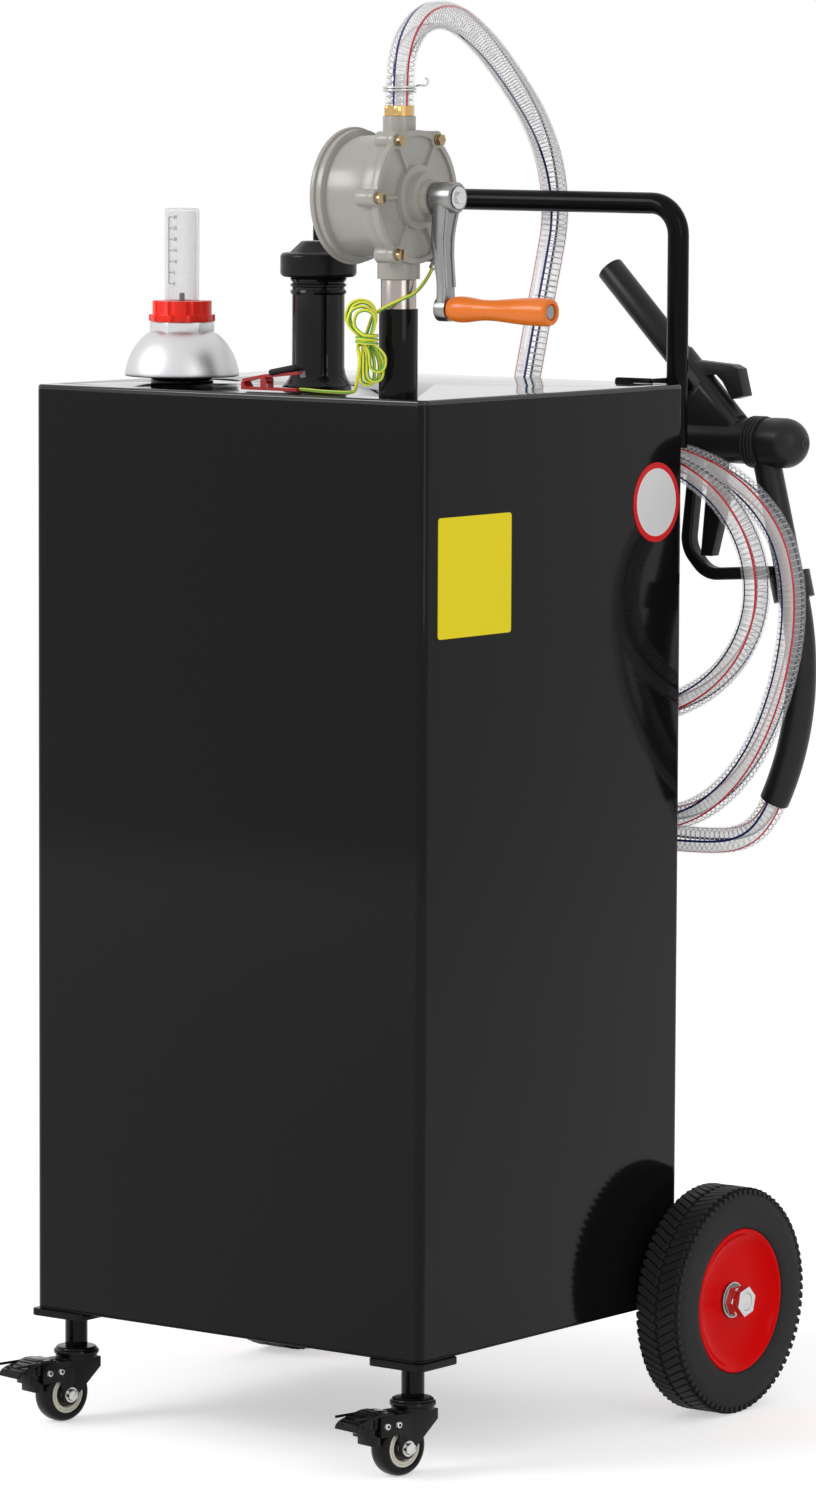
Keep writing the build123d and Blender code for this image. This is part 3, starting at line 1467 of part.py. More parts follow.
with BuildPart() as nozzle_body:
    rod(spout_plane.offset(spout_shown), body_radius, body_length)
    rod(chest_plane, chest_radius, chest_length)
    fillet(
        nozzle_body.edges().filter_by(GeomType.CIRCLE).group_by(Axis.X)[0], radius=spigot_step
    )
    add(nozzle_web.part)
    knob_plane = facing_side(chest_x + chest_length, nozzle_y, chest_z)
    rod(knob_plane, end_cap_radius, end_cap_collar)
    with BuildSketch(facing_front(chest_x + end_cap_out, nozzle_y, chest_z)) as face:
        Circle(end_cap_radius)
        with Locations((0, -end_cap_radius)):
            Rectangle(4 * end_cap_radius, 2 * end_cap_radius, mode=Mode.SUBTRACT)
    revolve(face.sketch, axis=side_axis(nozzle_y, chest_z))
    rod(grip_plane, grip_radius, grip_reach)
    rod(grip_plane, swivel_radius, swivel_length)
    for side in (-1, 1):
        ear_y = side * (lever_width / 2 + part_gap + lever_ear / 2)
        ear_plane = Plane(origin=pivot_at + Vector(0, ear_y, 0), x_dir=(1, 0, 0), z_dir=(0, -1, 0))
        with BuildSketch(ear_plane) as face:
            with Locations((0, -lever_pivot[1] / 2)):
                Rectangle(2 * lever_hub_radius, -lever_pivot[1])
            Circle(lever_hub_radius)
        extrude(face.sketch, amount=lever_ear / 2, both=True)
    lever_plane = Plane(origin=pivot_at, x_dir=(1, 0, 0), z_dir=(0, -1, 0))
    rod(
        lever_plane.offset(-lever_width / 2 - lever_ear), lever_pin_radius,
        lever_width + 2 * lever_ear,
    )
    hook_top_z = chest_z + chest_radius + hook_rise
    hook_points = []
    for along_share, drop_share in hook_shares:
        hook_points.append((chest_x + hook_arm * along_share, hook_top_z - hook_arm * drop_share))
    cut_plate(facing_front(0, nozzle_y, 0), hook_points, nozzle_hook_width)
    rod(spout_plane, spout_radius, spout_shown, Mode.SUBTRACT)
    rod(spout_plane, spout_radius - spigot_step, spout_length, Mode.SUBTRACT)
nozzle_body.part.label = "nozzle_body"
export_step(nozzle_body.part, "parts/nozzle_body.step")

with BuildPart() as nozzle_guard:
    with BuildLine() as guard_line:
        FilletPolyline(
            nozzle_place(guard_top),
            nozzle_place(guard_corner),
            nozzle_place(guard_bottom),
            grip_foot + grip_plane.z_dir * swivel_length - Vector(grip_radius, 0, 0),
            radius=guard_bend,
        )
    guard_plane = Plane(origin=guard_line.line @ 0, x_dir=(0, 1, 0), z_dir=guard_line.line % 0)
    with BuildSketch(guard_plane) as face:
        RectangleRounded(guard_depth, guard_width, guard_width / 4)
    sweep(face.sketch, path=guard_line.line)
    rod(chest_plane, chest_radius, chest_length, Mode.SUBTRACT)
    rod(grip_plane, grip_radius, grip_reach, Mode.SUBTRACT)
    rod(grip_plane, swivel_radius, swivel_length, Mode.SUBTRACT)
nozzle_guard.part.label = "nozzle_guard"
export_step(nozzle_guard.part, "parts/nozzle_guard.step")

with BuildPart() as nozzle_lever:
    lever_outline = (
        (lever_pivot[0] - lever_hub_radius * lever_shares[0], lever_pivot[1]),
        (lever_pivot[0] + lever_hub_radius * lever_shares[0], lever_pivot[1]),
        (lever_knee[0] + lever_depth * lever_shares[0], lever_knee[1]),
        (lever_tip[0] + lever_depth * lever_shares[2], lever_tip[1]),
        (lever_tip[0] - lever_depth * lever_shares[2], lever_tip[1]),
        (lever_knee[0] - lever_depth * lever_shares[1], lever_knee[1]),
    )
    cut_plate(facing_front(chest_x, nozzle_y, chest_z), lever_outline, lever_width)
    lever_hub = lever_plane.offset(-lever_width / 2)
    rod(lever_hub, lever_hub_radius, lever_width)
    rod(
        lever_hub.offset(-overrun), lever_pin_radius + running_gap, lever_width + 2 * overrun,
        Mode.SUBTRACT,
    )
nozzle_lever.part.label = "nozzle_lever"
export_step(nozzle_lever.part, "parts/nozzle_lever.step")

# Hose: a stretch from the pump over the rear edge, loops on the hook, and the sleeve at the nozzle

first_y = rear_face + hook_plate + part_gap + hose_radius
second_y = first_y + loop_spacing
third_y = second_y + loop_spacing
hose_points = [place(riser_x, riser_y, barb_foot)]
for aside, share, rise in hose_route:
    hose_points.append(place(riser_x + aside, riser_y + share * (first_y - riser_y), top_face + rise))
hose_radii = cord_radii(hose_points)
print("hose arcs", [round(radius) for radius in hose_radii])

with BuildPart() as supply_hose:
    with BuildLine() as supply_line:
        FilletPolyline(*hose_points, radius=hose_radii)
    with BuildSketch(level(riser_x, riser_y, barb_foot)) as face:
        Circle(hose_radius)
    sweep(face.sketch, path=supply_line.line)
    rod(level(riser_x, riser_y, barb_foot), barb_radius, barb_length, Mode.SUBTRACT)
supply_hose.part.label = "supply_hose"
export_step(supply_hose.part, "parts/supply_hose.step")
print("supply hose length", round(way_length(supply_line.line)))

with BuildPart() as hand_sleeve:
    with BuildSketch(Plane(origin=sleeve_line.line @ 0, z_dir=sleeve_line.line % 0)) as face:
        Circle(sleeve_hose_radius)
    sweep(face.sketch, path=sleeve_line.line)
hand_sleeve.part.label = "hand_sleeve"
export_step(hand_sleeve.part, "parts/hand_sleeve.step")

down = Vector(0, 0, -1)
up = Vector(0, 0, 1)
rightward = Vector(1, 0, 0)
leftward = Vector(-1, 0, 0)


def loop_place(name, y):
    aside, drop = loops_far[name]
    return place(hook_x + aside, y, loop_top - drop)


loop_nodes = (
    (hose_points[-1], (hose_points[-1] - hose_points[-2]).normalized()),
    (loop_place("first left", first_y), down),
    (loop_place("first bottom", first_y), rightward),
    (loop_place("first right", first_y), up),
    (loop_place("first top", first_y), leftward),
    (loop_place("second left", second_y), down),
    (loop_place("second bottom", second_y), rightward),
    (loop_place("second right", second_y), up),
    (loop_place("second top", second_y), leftward),
    (loop_place("third left", third_y), down),
    (loop_place("third bottom", third_y), rightward),
    (sleeve_line.line @ 0, sleeve_line.line % 0),
)
with BuildPart() as hose_loops:
    with BuildLine() as loops_line:
        for (start, start_way), (finish, finish_way) in zip(loop_nodes, loop_nodes[1:]):
            joint, joint_way = biarc(start, start_way, finish, finish_way)
            TangentArc(start, joint, tangent=start_way)
            TangentArc(joint, finish, tangent=joint_way)
    with BuildSketch(Plane(origin=loops_line.line @ 0, z_dir=loops_line.line % 0)) as face:
        Circle(hose_radius)
    sweep(face.sketch, path=loops_line.line)
hose_loops.part.label = "hose_loops"
export_step(hose_loops.part, "parts/hose_loops.step")
print("hose loops length", round(way_length(loops_line.line)))
print("hose loops gap", round(least_gap(loops_line.line, hose_radius, 4 * hose_radius), 2))
loops_fill = math.pi * hose_radius ** 2 * way_length(loops_line.line)
print("hose loops fill", round(hose_loops.part.volume / loops_fill, 4))

# Ground wire: ring terminal on a cover bolt, hank, and spring clip on the tank

bolt_turn = math.radians(terminal_bolt_turn)
bolt_y = riser_y + pump_bolt_circle * math.cos(bolt_turn)
bolt_z = pump_height + pump_bolt_circle * math.sin(bolt_turn)
terminal_x = cover_x + rib_height
tilt = math.radians(terminal_tilt)
tail_way = Vector(0, -math.sin(tilt), -math.cos(tilt))
terminal_at = place(terminal_x, bolt_y, bolt_z)
barrel_start = terminal_at + tail_way * terminal_tail + Vector(barrel_radius, 0, 0)
with BuildPart() as ring_terminal:
    terminal_plane = Plane(origin=terminal_at, x_dir=tail_way, z_dir=(1, 0, 0))
    with BuildSketch(terminal_plane) as face:
        Circle(terminal_radius)
        with Locations((terminal_tail / 2, 0)):
            Rectangle(terminal_tail, 2 * barrel_radius)
        Circle(pump_bolt_radius, mode=Mode.SUBTRACT)
    extrude(face.sketch, amount=terminal_sheet)
    rod(
        Plane(origin=barrel_start - tail_way * barrel_length, x_dir=(1, 0, 0), z_dir=tail_way),
        barrel_radius, barrel_length,
    )
ring_terminal.part.label = "ring_terminal"
export_step(ring_terminal.part, "parts/ring_terminal.step")

turn_angle = math.radians(hank_turn_angle)
hank_right = Vector(math.cos(turn_angle), math.sin(turn_angle), 0)
hank_out = Vector(math.sin(turn_angle), -math.cos(turn_angle), 0)
hank_centre = place(hank_x, hank_y, hank_height)


def hank_place(aside, rise, out):
    # A place in the hank: aside and up from its waist, and out towards the front
    return hank_centre + hank_right * aside + up * rise + hank_out * out


first_layer = -hank_turns / 2 * hank_pitch
entry_at = hank_place(*hank_entry, first_layer)
entry_way = (hank_place(-hank_waist, 0, first_layer) - entry_at).normalized()
hank_nodes = [(entry_at, entry_way), (hank_place(-hank_waist, 0, first_layer), down)]
for turn in range(hank_turns):
    layer = first_layer + turn * hank_pitch
    aside, half_wide, drop = hank_bottoms[turn]
    hank_nodes += [
        (hank_place(aside - half_wide, -hank_side_share * drop, layer), down),
        (hank_place(aside, -drop, layer), hank_right),
        (hank_place(aside + half_wide, -hank_side_share * drop, layer), up),
    ]
    layer += hank_pitch
    aside, half_wide, rise = hank_tops[turn]
    hank_nodes += [
        (hank_place(hank_waist, 0, layer), up),
        (hank_place(aside + half_wide, hank_side_share * rise, layer), up),
        (hank_place(aside, rise, layer), hank_right * -1),
        (hank_place(aside - half_wide, hank_side_share * rise, layer), down),
        (hank_place(-hank_waist, 0, layer), down),
    ]
hank_nodes = hank_nodes[:-1]
for step in range(wrap_quarters + 1):
    angle = math.radians(wrap_start - 90 * step)
    ahead = hank_right * wrap_aside * math.sin(angle) - hank_out * wrap_out * math.cos(angle)
    ahead = (ahead + down * wrap_pitch / math.tau).normalized()
    rise = wrap_rise - wrap_pitch * step / 4
    hank_nodes.append(
        (hank_place(wrap_aside * math.cos(angle), rise, wrap_out * math.sin(angle)), ahead)
    )
hank_nodes.append((hank_place(*wrap_exit), down))
with BuildPart() as wire_hank:
    with BuildLine() as hank_line:
        for (start, start_way), (finish, finish_way) in zip(hank_nodes, hank_nodes[1:]):
            joint, joint_way = biarc(start, start_way, finish, finish_way)
            TangentArc(start, joint, tangent=start_way)
            TangentArc(joint, finish, tangent=joint_way)
    with BuildSketch(Plane(origin=hank_line.line @ 0, z_dir=hank_line.line % 0)) as face:
        Circle(wire_radius)
    sweep(face.sketch, path=hank_line.line)
wire_hank.part.label = "wire_hank"
export_step(wire_hank.part, "parts/wire_hank.step")
print("hank gap", round(least_gap(hank_line.line, wire_radius, 6 * wire_radius), 2))

upper_points = [barrel_start, barrel_start + tail_way * wire_lead]
for aside, back, rise in upper_route:
    upper_points.append(place(riser_x + aside, riser_y + back, top_face + rise))
upper_points += [hank_nodes[0][0] - entry_way * wire_lead, hank_nodes[0][0]]
upper_radii = cord_radii(upper_points)
print("upper wire arcs", [round(radius) for radius in upper_radii])
with BuildPart() as ground_wire_upper:
    with BuildLine() as upper_line:
        FilletPolyline(*upper_points, radius=upper_radii)
    with BuildSketch(Plane(origin=upper_line.line @ 0, z_dir=upper_line.line % 0)) as face:
        Circle(wire_radius)
    sweep(face.sketch, path=upper_line.line)
ground_wire_upper.part.label = "ground_wire_upper"
export_step(ground_wire_upper.part, "parts/ground_wire_upper.step")

clip_base = top_face + crown(clip_x - clip_length / 2, clip_y + clip_width / 2) + part_gap
clip_tail = place(clip_x + clip_length / 2, clip_y, clip_base + wire_radius)
lower_points = [hank_nodes[-1][0], hank_nodes[-1][0] + down * wire_lead]
for aside, back, rise in lower_route:
    lower_points.append(place(riser_x + aside, riser_y + back, top_face + rise))
lower_points += [clip_tail + rightward * wire_lead, clip_tail]
lower_radii = cord_radii(lower_points)
print("lower wire arcs", [round(radius) for radius in lower_radii])
with BuildPart() as ground_wire_lower:
    with BuildLine() as lower_line:
        FilletPolyline(*lower_points, radius=lower_radii)
    with BuildSketch(Plane(origin=lower_line.line @ 0, z_dir=lower_line.line % 0)) as face:
        Circle(wire_radius)
    sweep(face.sketch, path=lower_line.line)
ground_wire_lower.part.label = "ground_wire_lower"
export_step(ground_wire_lower.part, "parts/ground_wire_lower.step")
wire_lines = (upper_line.line, hank_line.line, lower_line.line)
print("ground wire length", round(sum(way_length(line) for line in wire_lines)))

clip_left = clip_x - clip_length / 2
clip_right = clip_x + clip_length / 2
clip_pin_x = clip_left + clip_jaw_length
clip_pin_z = clip_base + clip_pin_rise
clip_front = facing_front(0, clip_y, 0)
with BuildPart() as clip_lower:
    lower_outline = (
        (clip_left, clip_base),
        (clip_right, clip_base),
        (clip_right, clip_base + clip_sheet),
        (clip_left + 2 * clip_sheet, clip_base + clip_sheet),
        (clip_left + clip_sheet, clip_base + clip_bite),
        (clip_left, clip_base + clip_bite),
    )
    cut_plate(clip_front, lower_outline, clip_width)
    for side in (-1, 1):
        ear_plane = facing_front(clip_pin_x, clip_y + side * (clip_width - clip_ear) / 2, clip_pin_z)
        with BuildSketch(ear_plane) as face:
            with Locations((0, (clip_base - clip_pin_z) / 2)):
                Rectangle(3 * clip_pin_radius, clip_pin_z - clip_base)
            Circle(clip_boss_shares[0] * clip_pin_radius)
        extrude(face.sketch, amount=clip_ear / 2, both=True)
    rod(
        facing_front(clip_pin_x, clip_y + clip_width / 2, clip_pin_z), clip_pin_radius, clip_width
    )
clip_lower.part.label = "clip_lower_jaw"
export_step(clip_lower.part, "parts/clip_lower_jaw.step")

with BuildPart() as clip_upper:
    bite_z = clip_base + clip_bite + part_gap / 3
    hub_width = clip_width - 2 * clip_ear - 2 * part_gap
    upper_outline = (
        (clip_left, bite_z),
        (clip_left + clip_sheet, bite_z),
        (clip_pin_x - 2 * clip_pin_radius, clip_pin_z + clip_pin_radius),
        (clip_pin_x + 2 * clip_pin_radius, clip_pin_z + clip_pin_radius * clip_lip_share),
        (clip_right, clip_base + clip_rise - clip_sheet),
        (clip_right, clip_base + clip_rise),
        (clip_pin_x, clip_pin_z + clip_pin_radius + clip_sheet * clip_lip_share),
        (clip_left + clip_sheet, bite_z + clip_sheet * clip_lip_share),
        (clip_left, bite_z + clip_sheet),
    )
    cut_plate(clip_front, upper_outline, hub_width)
    clip_hub = facing_front(clip_pin_x, clip_y + hub_width / 2, clip_pin_z)
    rod(clip_hub, clip_pin_radius * clip_boss_shares[1], hub_width)
    rod(clip_hub.offset(-overrun), clip_pin_radius + running_gap, hub_width + 2 * overrun, Mode.SUBTRACT)
clip_upper.part.label = "clip_upper_jaw"
export_step(clip_upper.part, "parts/clip_upper_jaw.step")

# Bare plates on the right wall

with BuildPart() as wall_plates:
    with BuildSketch(facing_side(half_width, label_y, label_z)) as face:
        RectangleRounded(label_wide, label_high, sheet)
    extrude(face.sketch, amount=plate_sheet)
    rod(facing_side(half_width, sign_y, sign_z), sign_radius, plate_sheet)
wall_plates.part.label = "wall_plates"
export_step(wall_plates.part, "parts/wall_plates.step")
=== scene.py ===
import json
from math import copysign, cos, pi, radians, sin

import bmesh
import bpy
from mathutils import Matrix, Vector


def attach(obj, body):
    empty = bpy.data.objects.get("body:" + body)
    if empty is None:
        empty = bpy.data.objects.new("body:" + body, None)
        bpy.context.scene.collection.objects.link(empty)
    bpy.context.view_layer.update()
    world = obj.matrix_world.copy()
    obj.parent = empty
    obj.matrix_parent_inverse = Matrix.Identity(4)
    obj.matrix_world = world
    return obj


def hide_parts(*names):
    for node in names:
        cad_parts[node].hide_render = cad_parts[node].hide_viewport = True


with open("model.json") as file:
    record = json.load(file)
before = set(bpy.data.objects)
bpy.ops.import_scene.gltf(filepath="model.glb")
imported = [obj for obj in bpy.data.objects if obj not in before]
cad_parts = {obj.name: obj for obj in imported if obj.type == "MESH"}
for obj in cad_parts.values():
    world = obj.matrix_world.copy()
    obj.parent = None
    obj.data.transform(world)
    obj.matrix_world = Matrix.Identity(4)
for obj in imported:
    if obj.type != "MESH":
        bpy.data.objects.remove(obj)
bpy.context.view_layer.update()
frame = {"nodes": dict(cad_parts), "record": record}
nodes = frame["nodes"]
scene = bpy.context.scene
scene.view_settings.view_transform = "Standard"

tankCentre = Vector((-0.02575, -0.036679, 0))  # the part counts its places from the tank's middle


def at(x, y, z):
    return tankCentre + Vector((x, y, z))


moveTo = Matrix.Translation


def newObject(name, data):
    thing = bpy.data.objects.new(name, data)
    scene.collection.objects.link(thing)
    return thing


# Camera, as the photograph was taken
cameraView = {"place": (3.62, -4.7211, 1.2127), "yaw": 37.07, "pitch": 5.894, "roll": 0.251, "lens": 163.51}


def makeCamera(view):
    data = bpy.data.cameras.new("camera")
    data.sensor_fit = "VERTICAL"
    data.sensor_height = 36
    data.lens = view["lens"]
    data.clip_end = 40
    camera = newObject("camera", data)
    camera.matrix_world = moveTo(at(*view["place"]))
    for angle, axis in ((view["yaw"], "Z"), (90 - view["pitch"], "X"), (view["roll"], "Z")):
        camera.matrix_world = camera.matrix_world @ Matrix.Rotation(radians(angle), 4, axis)
    scene.camera = camera


makeCamera(cameraView)
print("camera placed")


# Shader parts
def setInputs(node, values):
    for name, value in values.items():
        node.inputs[name].default_value = value


def addNode(tree, kind, values={}, **settings):
    node = tree.nodes.new("ShaderNode" + kind)
    for name, value in settings.items():
        setattr(node, name, value)
    setInputs(node, values)
    return node


def link(tree, *links):
    # Each link is a node, its output, the next node and its input
    for source, output, target, place in links:
        tree.links.new(source.outputs[output], target.inputs[place])


def newMaterial(name):
    material = bpy.data.materials.new(name)
    material.use_nodes = True
    return material, material.node_tree, material.node_tree.nodes["Principled BSDF"]


def surfaceGroup():
    # Fine grain and slow clouds: a little change of colour and gloss, and a height for the bump
    group = bpy.data.node_groups.new("surface grain", "ShaderNodeTree")
    for way, name, kind in (
        ("INPUT", "Color", "Color"), ("INPUT", "Second Color", "Color"), ("INPUT", "Grain Scale", "Float"),
        ("INPUT", "Cloud Scale", "Float"), ("INPUT", "Stretch", "Vector"), ("INPUT", "Roughness", "Float"),
        ("INPUT", "Roughness Spread", "Float"), ("OUTPUT", "Color", "Color"),
        ("OUTPUT", "Roughness", "Float"), ("OUTPUT", "Height", "Float"),
    ):
        group.interface.new_socket(name=name, in_out=way, socket_type="NodeSocket" + kind)
    into = group.nodes.new("NodeGroupInput")
    out = group.nodes.new("NodeGroupOutput")
    coordinates = addNode(group, "TexCoord")
    stretch = addNode(group, "VectorMath", operation="MULTIPLY")
    grain = addNode(group, "TexNoise", {"Detail": 4, "Roughness": 0.6})
    cloud = addNode(group, "TexNoise", {"Detail": 3, "Roughness": 0.5})
    blend = addNode(group, "Mix", data_type="RGBA")
    spread = addNode(group, "Math", operation="MULTIPLY_ADD")
    middle = addNode(group, "Math", {1: 0.5}, operation="SUBTRACT")
    both = addNode(group, "Math", operation="ADD")
    half = addNode(group, "Math", {1: 0.5}, operation="MULTIPLY")
    link(
        group, (coordinates, "Object", stretch, 0), (into, "Stretch", stretch, 1),
        (stretch, 0, grain, "Vector"), (coordinates, "Object", cloud, "Vector"),
        (into, "Grain Scale", grain, "Scale"),
        (into, "Cloud Scale", cloud, "Scale"), (grain, "Fac", both, 0), (cloud, "Fac", both, 1),
        (both, 0, half, 0), (half, 0, blend, "Factor"), (half, 0, middle, 0), (middle, 0, spread, 0),
        (into, "Roughness Spread", spread, 1), (into, "Roughness", spread, 2),
        (spread, 0, out, "Roughness"),
        (grain, "Fac", out, "Height"), (into, "Color", blend, "A"), (into, "Second Color", blend, "B"),
        (blend, "Result", out, "Color"),
    )
    return group


grainGroup = surfaceGroup()

# What a look has where it doesn't say otherwise
plainLook = {
    "spread": 0.05, "grain": 300, "cloud": 12, "stretch": (1, 1, 1), "bump": 0.1, "metal": 0, "coat": 0,
    "gloss": 0.5,
}
bumpDepth, coatRough = 0.0002, 0.05


def finish(name, look):
    # The grain group with a look's own values, joined to the shader
    look = {**plainLook, **look}
    material, tree, shader = newMaterial(name)
    first, second = look["colors"]
    grain = addNode(tree, "Group", {
        "Color": (*first, 1), "Second Color": (*second, 1), "Grain Scale": look["grain"],
        "Cloud Scale": look["cloud"], "Stretch": look["stretch"], "Roughness": look["rough"],
        "Roughness Spread": look["spread"],
    }, node_tree=grainGroup)
    bump = addNode(tree, "Bump", {"Strength": look["bump"], "Distance": bumpDepth})
    link(
        tree, (grain, "Color", shader, "Base Color"), (grain, "Roughness", shader, "Roughness"),
        (grain, "Height", bump, "Height"), (bump, "Normal", shader, "Normal"),
    )
    setInputs(shader, {
        "Metallic": look["metal"], "Coat Weight": look["coat"], "Coat Roughness": coatRough,
        "Specular IOR Level": look["gloss"],
    })
    return material


def grey(value):
    return (value, value, value)


looks = {
    "tank black": {
        "colors": ((0.005, 0.005, 0.0053), (0.0075, 0.0075, 0.008)), "rough": 0.08, "spread": 0.05,
        "bump": 0.012, "cloud": 3, "gloss": 0.12,
    },
    "top black": {
        "colors": ((0.007, 0.007, 0.008), (0.01, 0.01, 0.011)), "rough": 0.045, "spread": 0.03,
        "bump": 0.01, "cloud": 4,
    },
    "handle black": {
        "colors": ((0.004, 0.004, 0.0045), (0.007, 0.007, 0.0075)), "rough": 0.12, "bump": 0.03,
        "gloss": 0.06,
    },
    "caster black": {"colors": (grey(0.004), grey(0.008)), "rough": 0.12, "bump": 0.05, "gloss": 0.16},
    "caster tread": {"colors": (grey(0.006), grey(0.011)), "rough": 0.3, "bump": 0.06, "gloss": 0.14},
    "hub cream": {"colors": ((0.86, 0.84, 0.74), (0.76, 0.73, 0.63)), "rough": 0.35, "bump": 0.05},
    "bearing brown": {"colors": ((0.05, 0.04, 0.03), (0.02, 0.016, 0.014)), "rough": 0.4},
    "zinc": {
        "colors": ((0.72, 0.72, 0.71), grey(0.5)), "rough": 0.22, "spread": 0.15, "metal": 1, "bump": 0.05,
    },
    "helix steel": {"colors": ((0.74, 0.72, 0.73), (0.55, 0.53, 0.54)), "rough": 0.3, "bump": 0.03},
    "dark zinc": {
        "colors": (grey(0.2), grey(0.12)), "rough": 0.3, "spread": 0.15, "metal": 1, "bump": 0.08,
    },
    "wheel red": {
        "colors": ((0.86, 0.001, 0.0016), (0.78, 0.001, 0.0014)), "rough": 0.2, "coat": 0.02, "bump": 0.02,
        "gloss": 0.03,
    },
    "tyre rubber": {
        "colors": (grey(0.02), grey(0.03)), "rough": 0.55, "spread": 0.15, "bump": 0.3, "grain": 500,
        "gloss": 0.1,
    },
    "pump grey": {
        "colors": ((0.43, 0.415, 0.375), (0.36, 0.345, 0.31)), "rough": 0.26, "spread": 0.08, "bump": 0.14,
        "grain": 420,
    },
    "pipe steel": {
        "colors": ((0.46, 0.42, 0.39), (0.3, 0.26, 0.24)), "rough": 0.22, "spread": 0.1, "metal": 1,
        "bump": 0.03, "stretch": (1, 1, 0.05),
    },
    "yellow zinc": {
        "colors": ((0.5, 0.38, 0.22), (0.2, 0.14, 0.08)), "rough": 0.2, "metal": 1, "bump": 0.05,
    },
    "brass": {"colors": ((0.7, 0.47, 0.2), (0.45, 0.28, 0.1)), "rough": 0.2, "metal": 1, "bump": 0.04},
    "crank metal": {
        "colors": (grey(0.34), grey(0.22)), "rough": 0.3, "spread": 0.12, "metal": 1, "bump": 0.14,
        "grain": 380,
    },
    "grip orange": {
        "colors": ((0.95, 0.25, 0.03), (0.78, 0.16, 0.015)), "rough": 0.2, "coat": 0.15,
        "stretch": (0.06, 1, 1), "grain": 260, "bump": 0.06, "gloss": 0.2,
    },
    "cap black": {"colors": (grey(0.005), grey(0.01)), "rough": 0.26, "bump": 0.06, "gloss": 0.16},
    "neck black": {"colors": (grey(0.004), grey(0.007)), "rough": 0.07, "bump": 0.03, "gloss": 0.2},
    "seal rubber": {"colors": (grey(0.01), grey(0.02)), "rough": 0.6, "bump": 0.1, "gloss": 0.2},
    "dome aluminium": {
        "colors": ((0.72, 0.72, 0.735), (0.6, 0.6, 0.61)), "rough": 0.4, "spread": 0.1, "metal": 1,
        "bump": 0.04, "stretch": (1, 1, 8),
    },
    "nut red": {
        "colors": ((0.98, 0.035, 0.02), (0.94, 0.03, 0.016)), "rough": 0.22, "coat": 0.1, "bump": 0.03,
        "gloss": 0.1,
    },
    "nozzle black": {
        "colors": (grey(0.009), grey(0.016)), "rough": 0.38, "spread": 0.08, "bump": 0.12, "grain": 600,
        "gloss": 0.24,
    },
    "sleeve black": {
        "colors": (grey(0.006), (0.012, 0.012, 0.013)), "rough": 0.2, "bump": 0.08, "gloss": 0.16,
    },
    "clip red": {"colors": ((0.5, 0.01, 0.01), (0.35, 0.006, 0.006)), "rough": 0.35, "bump": 0.05},
    "plate yellow": {
        "colors": ((0.98, 0.82, 0.012), (0.94, 0.78, 0.01)), "rough": 0.35, "bump": 0.03, "gloss": 0.15,
    },
    "plate white": {"colors": (grey(0.82), grey(0.76)), "rough": 0.35, "bump": 0.03},
    "plate red": {
        "colors": ((0.78, 0.012, 0.014), (0.7, 0.01, 0.012)), "rough": 0.32, "bump": 0.03, "gloss": 0.15,
    },
    "scale ink": {"colors": ((0.03, 0.03, 0.035), (0.06, 0.06, 0.065)), "rough": 0.5, "bump": 0.02},
}
finishes = {name: finish(name, look) for name, look in looks.items()}


def denseEdges(tree, shader, blend, extra):
    # Clear plastic grows denser where it is seen along its face; its own alpha goes in where this returns
    edge = addNode(tree, "LayerWeight", {"Blend": blend})
    dense = addNode(tree, "Math", {1: extra}, operation="MULTIPLY")
    both = addNode(tree, "Math", operation="ADD", use_clamp=True)
    link(tree, (edge, "Facing", dense, 0), (dense, 0, both, 0), (both, 0, shader, "Alpha"))
    return both


def clearFinish(name, look):
    material, tree, shader = newMaterial(name)
    setInputs(denseEdges(tree, shader, *look["edge"]), {1: look["alpha"]})
    setInputs(shader, {"Base Color": (*look["color"], 1), "Roughness": look["rough"], "IOR": look["ior"]})
    return material


def stripedFinish(name, look):
    # Stripes along a cord, read round it from its UV; with an edge, their alpha lets the wall show through
    material, tree, shader = newMaterial(name)
    ramp = addNode(tree, "ValToRGB")
    ramp.color_ramp.interpolation = "CONSTANT"
    stops = ramp.color_ramp.elements
    stops[0].position, stops[0].color = look["stripes"][0]
    stops[1].position, stops[1].color = look["stripes"][1]
    for position, color in look["stripes"][2:]:
        stops.new(position).color = color
    parts = addNode(tree, "SeparateXYZ")
    grain = addNode(tree, "TexNoise", {"Scale": look["grain"], "Detail": 3})
    bump = addNode(tree, "Bump", {"Strength": look["bump"], "Distance": bumpDepth})
    link(
        tree, (addNode(tree, "UVMap"), "UV", parts, 0), (parts, "Y", ramp, "Fac"),
        (ramp, "Color", shader, "Base Color"), (addNode(tree, "TexCoord"), "Object", grain, "Vector"),
        (grain, "Fac", bump, "Height"), (bump, "Normal", shader, "Normal"),
    )
    if "edge" in look:
        link(tree, (ramp, "Alpha", denseEdges(tree, shader, *look["edge"]), 1))
    setInputs(shader, {"Roughness": look["rough"], "IOR": look["ior"]})
    return material


wallClear, bandWhite = (0.97, 0.97, 0.99, 0.07), (1.0, 1.0, 1.0, 0.5)
lineRed, lineBlue = (0.62, 0.01, 0.02, 1), (0.015, 0.03, 0.16, 1)
wireYellow, wireGreen = (0.86, 0.82, 0.05, 1), (0.1, 0.42, 0.06, 1)
tubeLook = {"color": (0.78, 0.79, 0.82), "alpha": 0.16, "rough": 0.04, "ior": 1.45, "edge": (0.35, 0.35)}
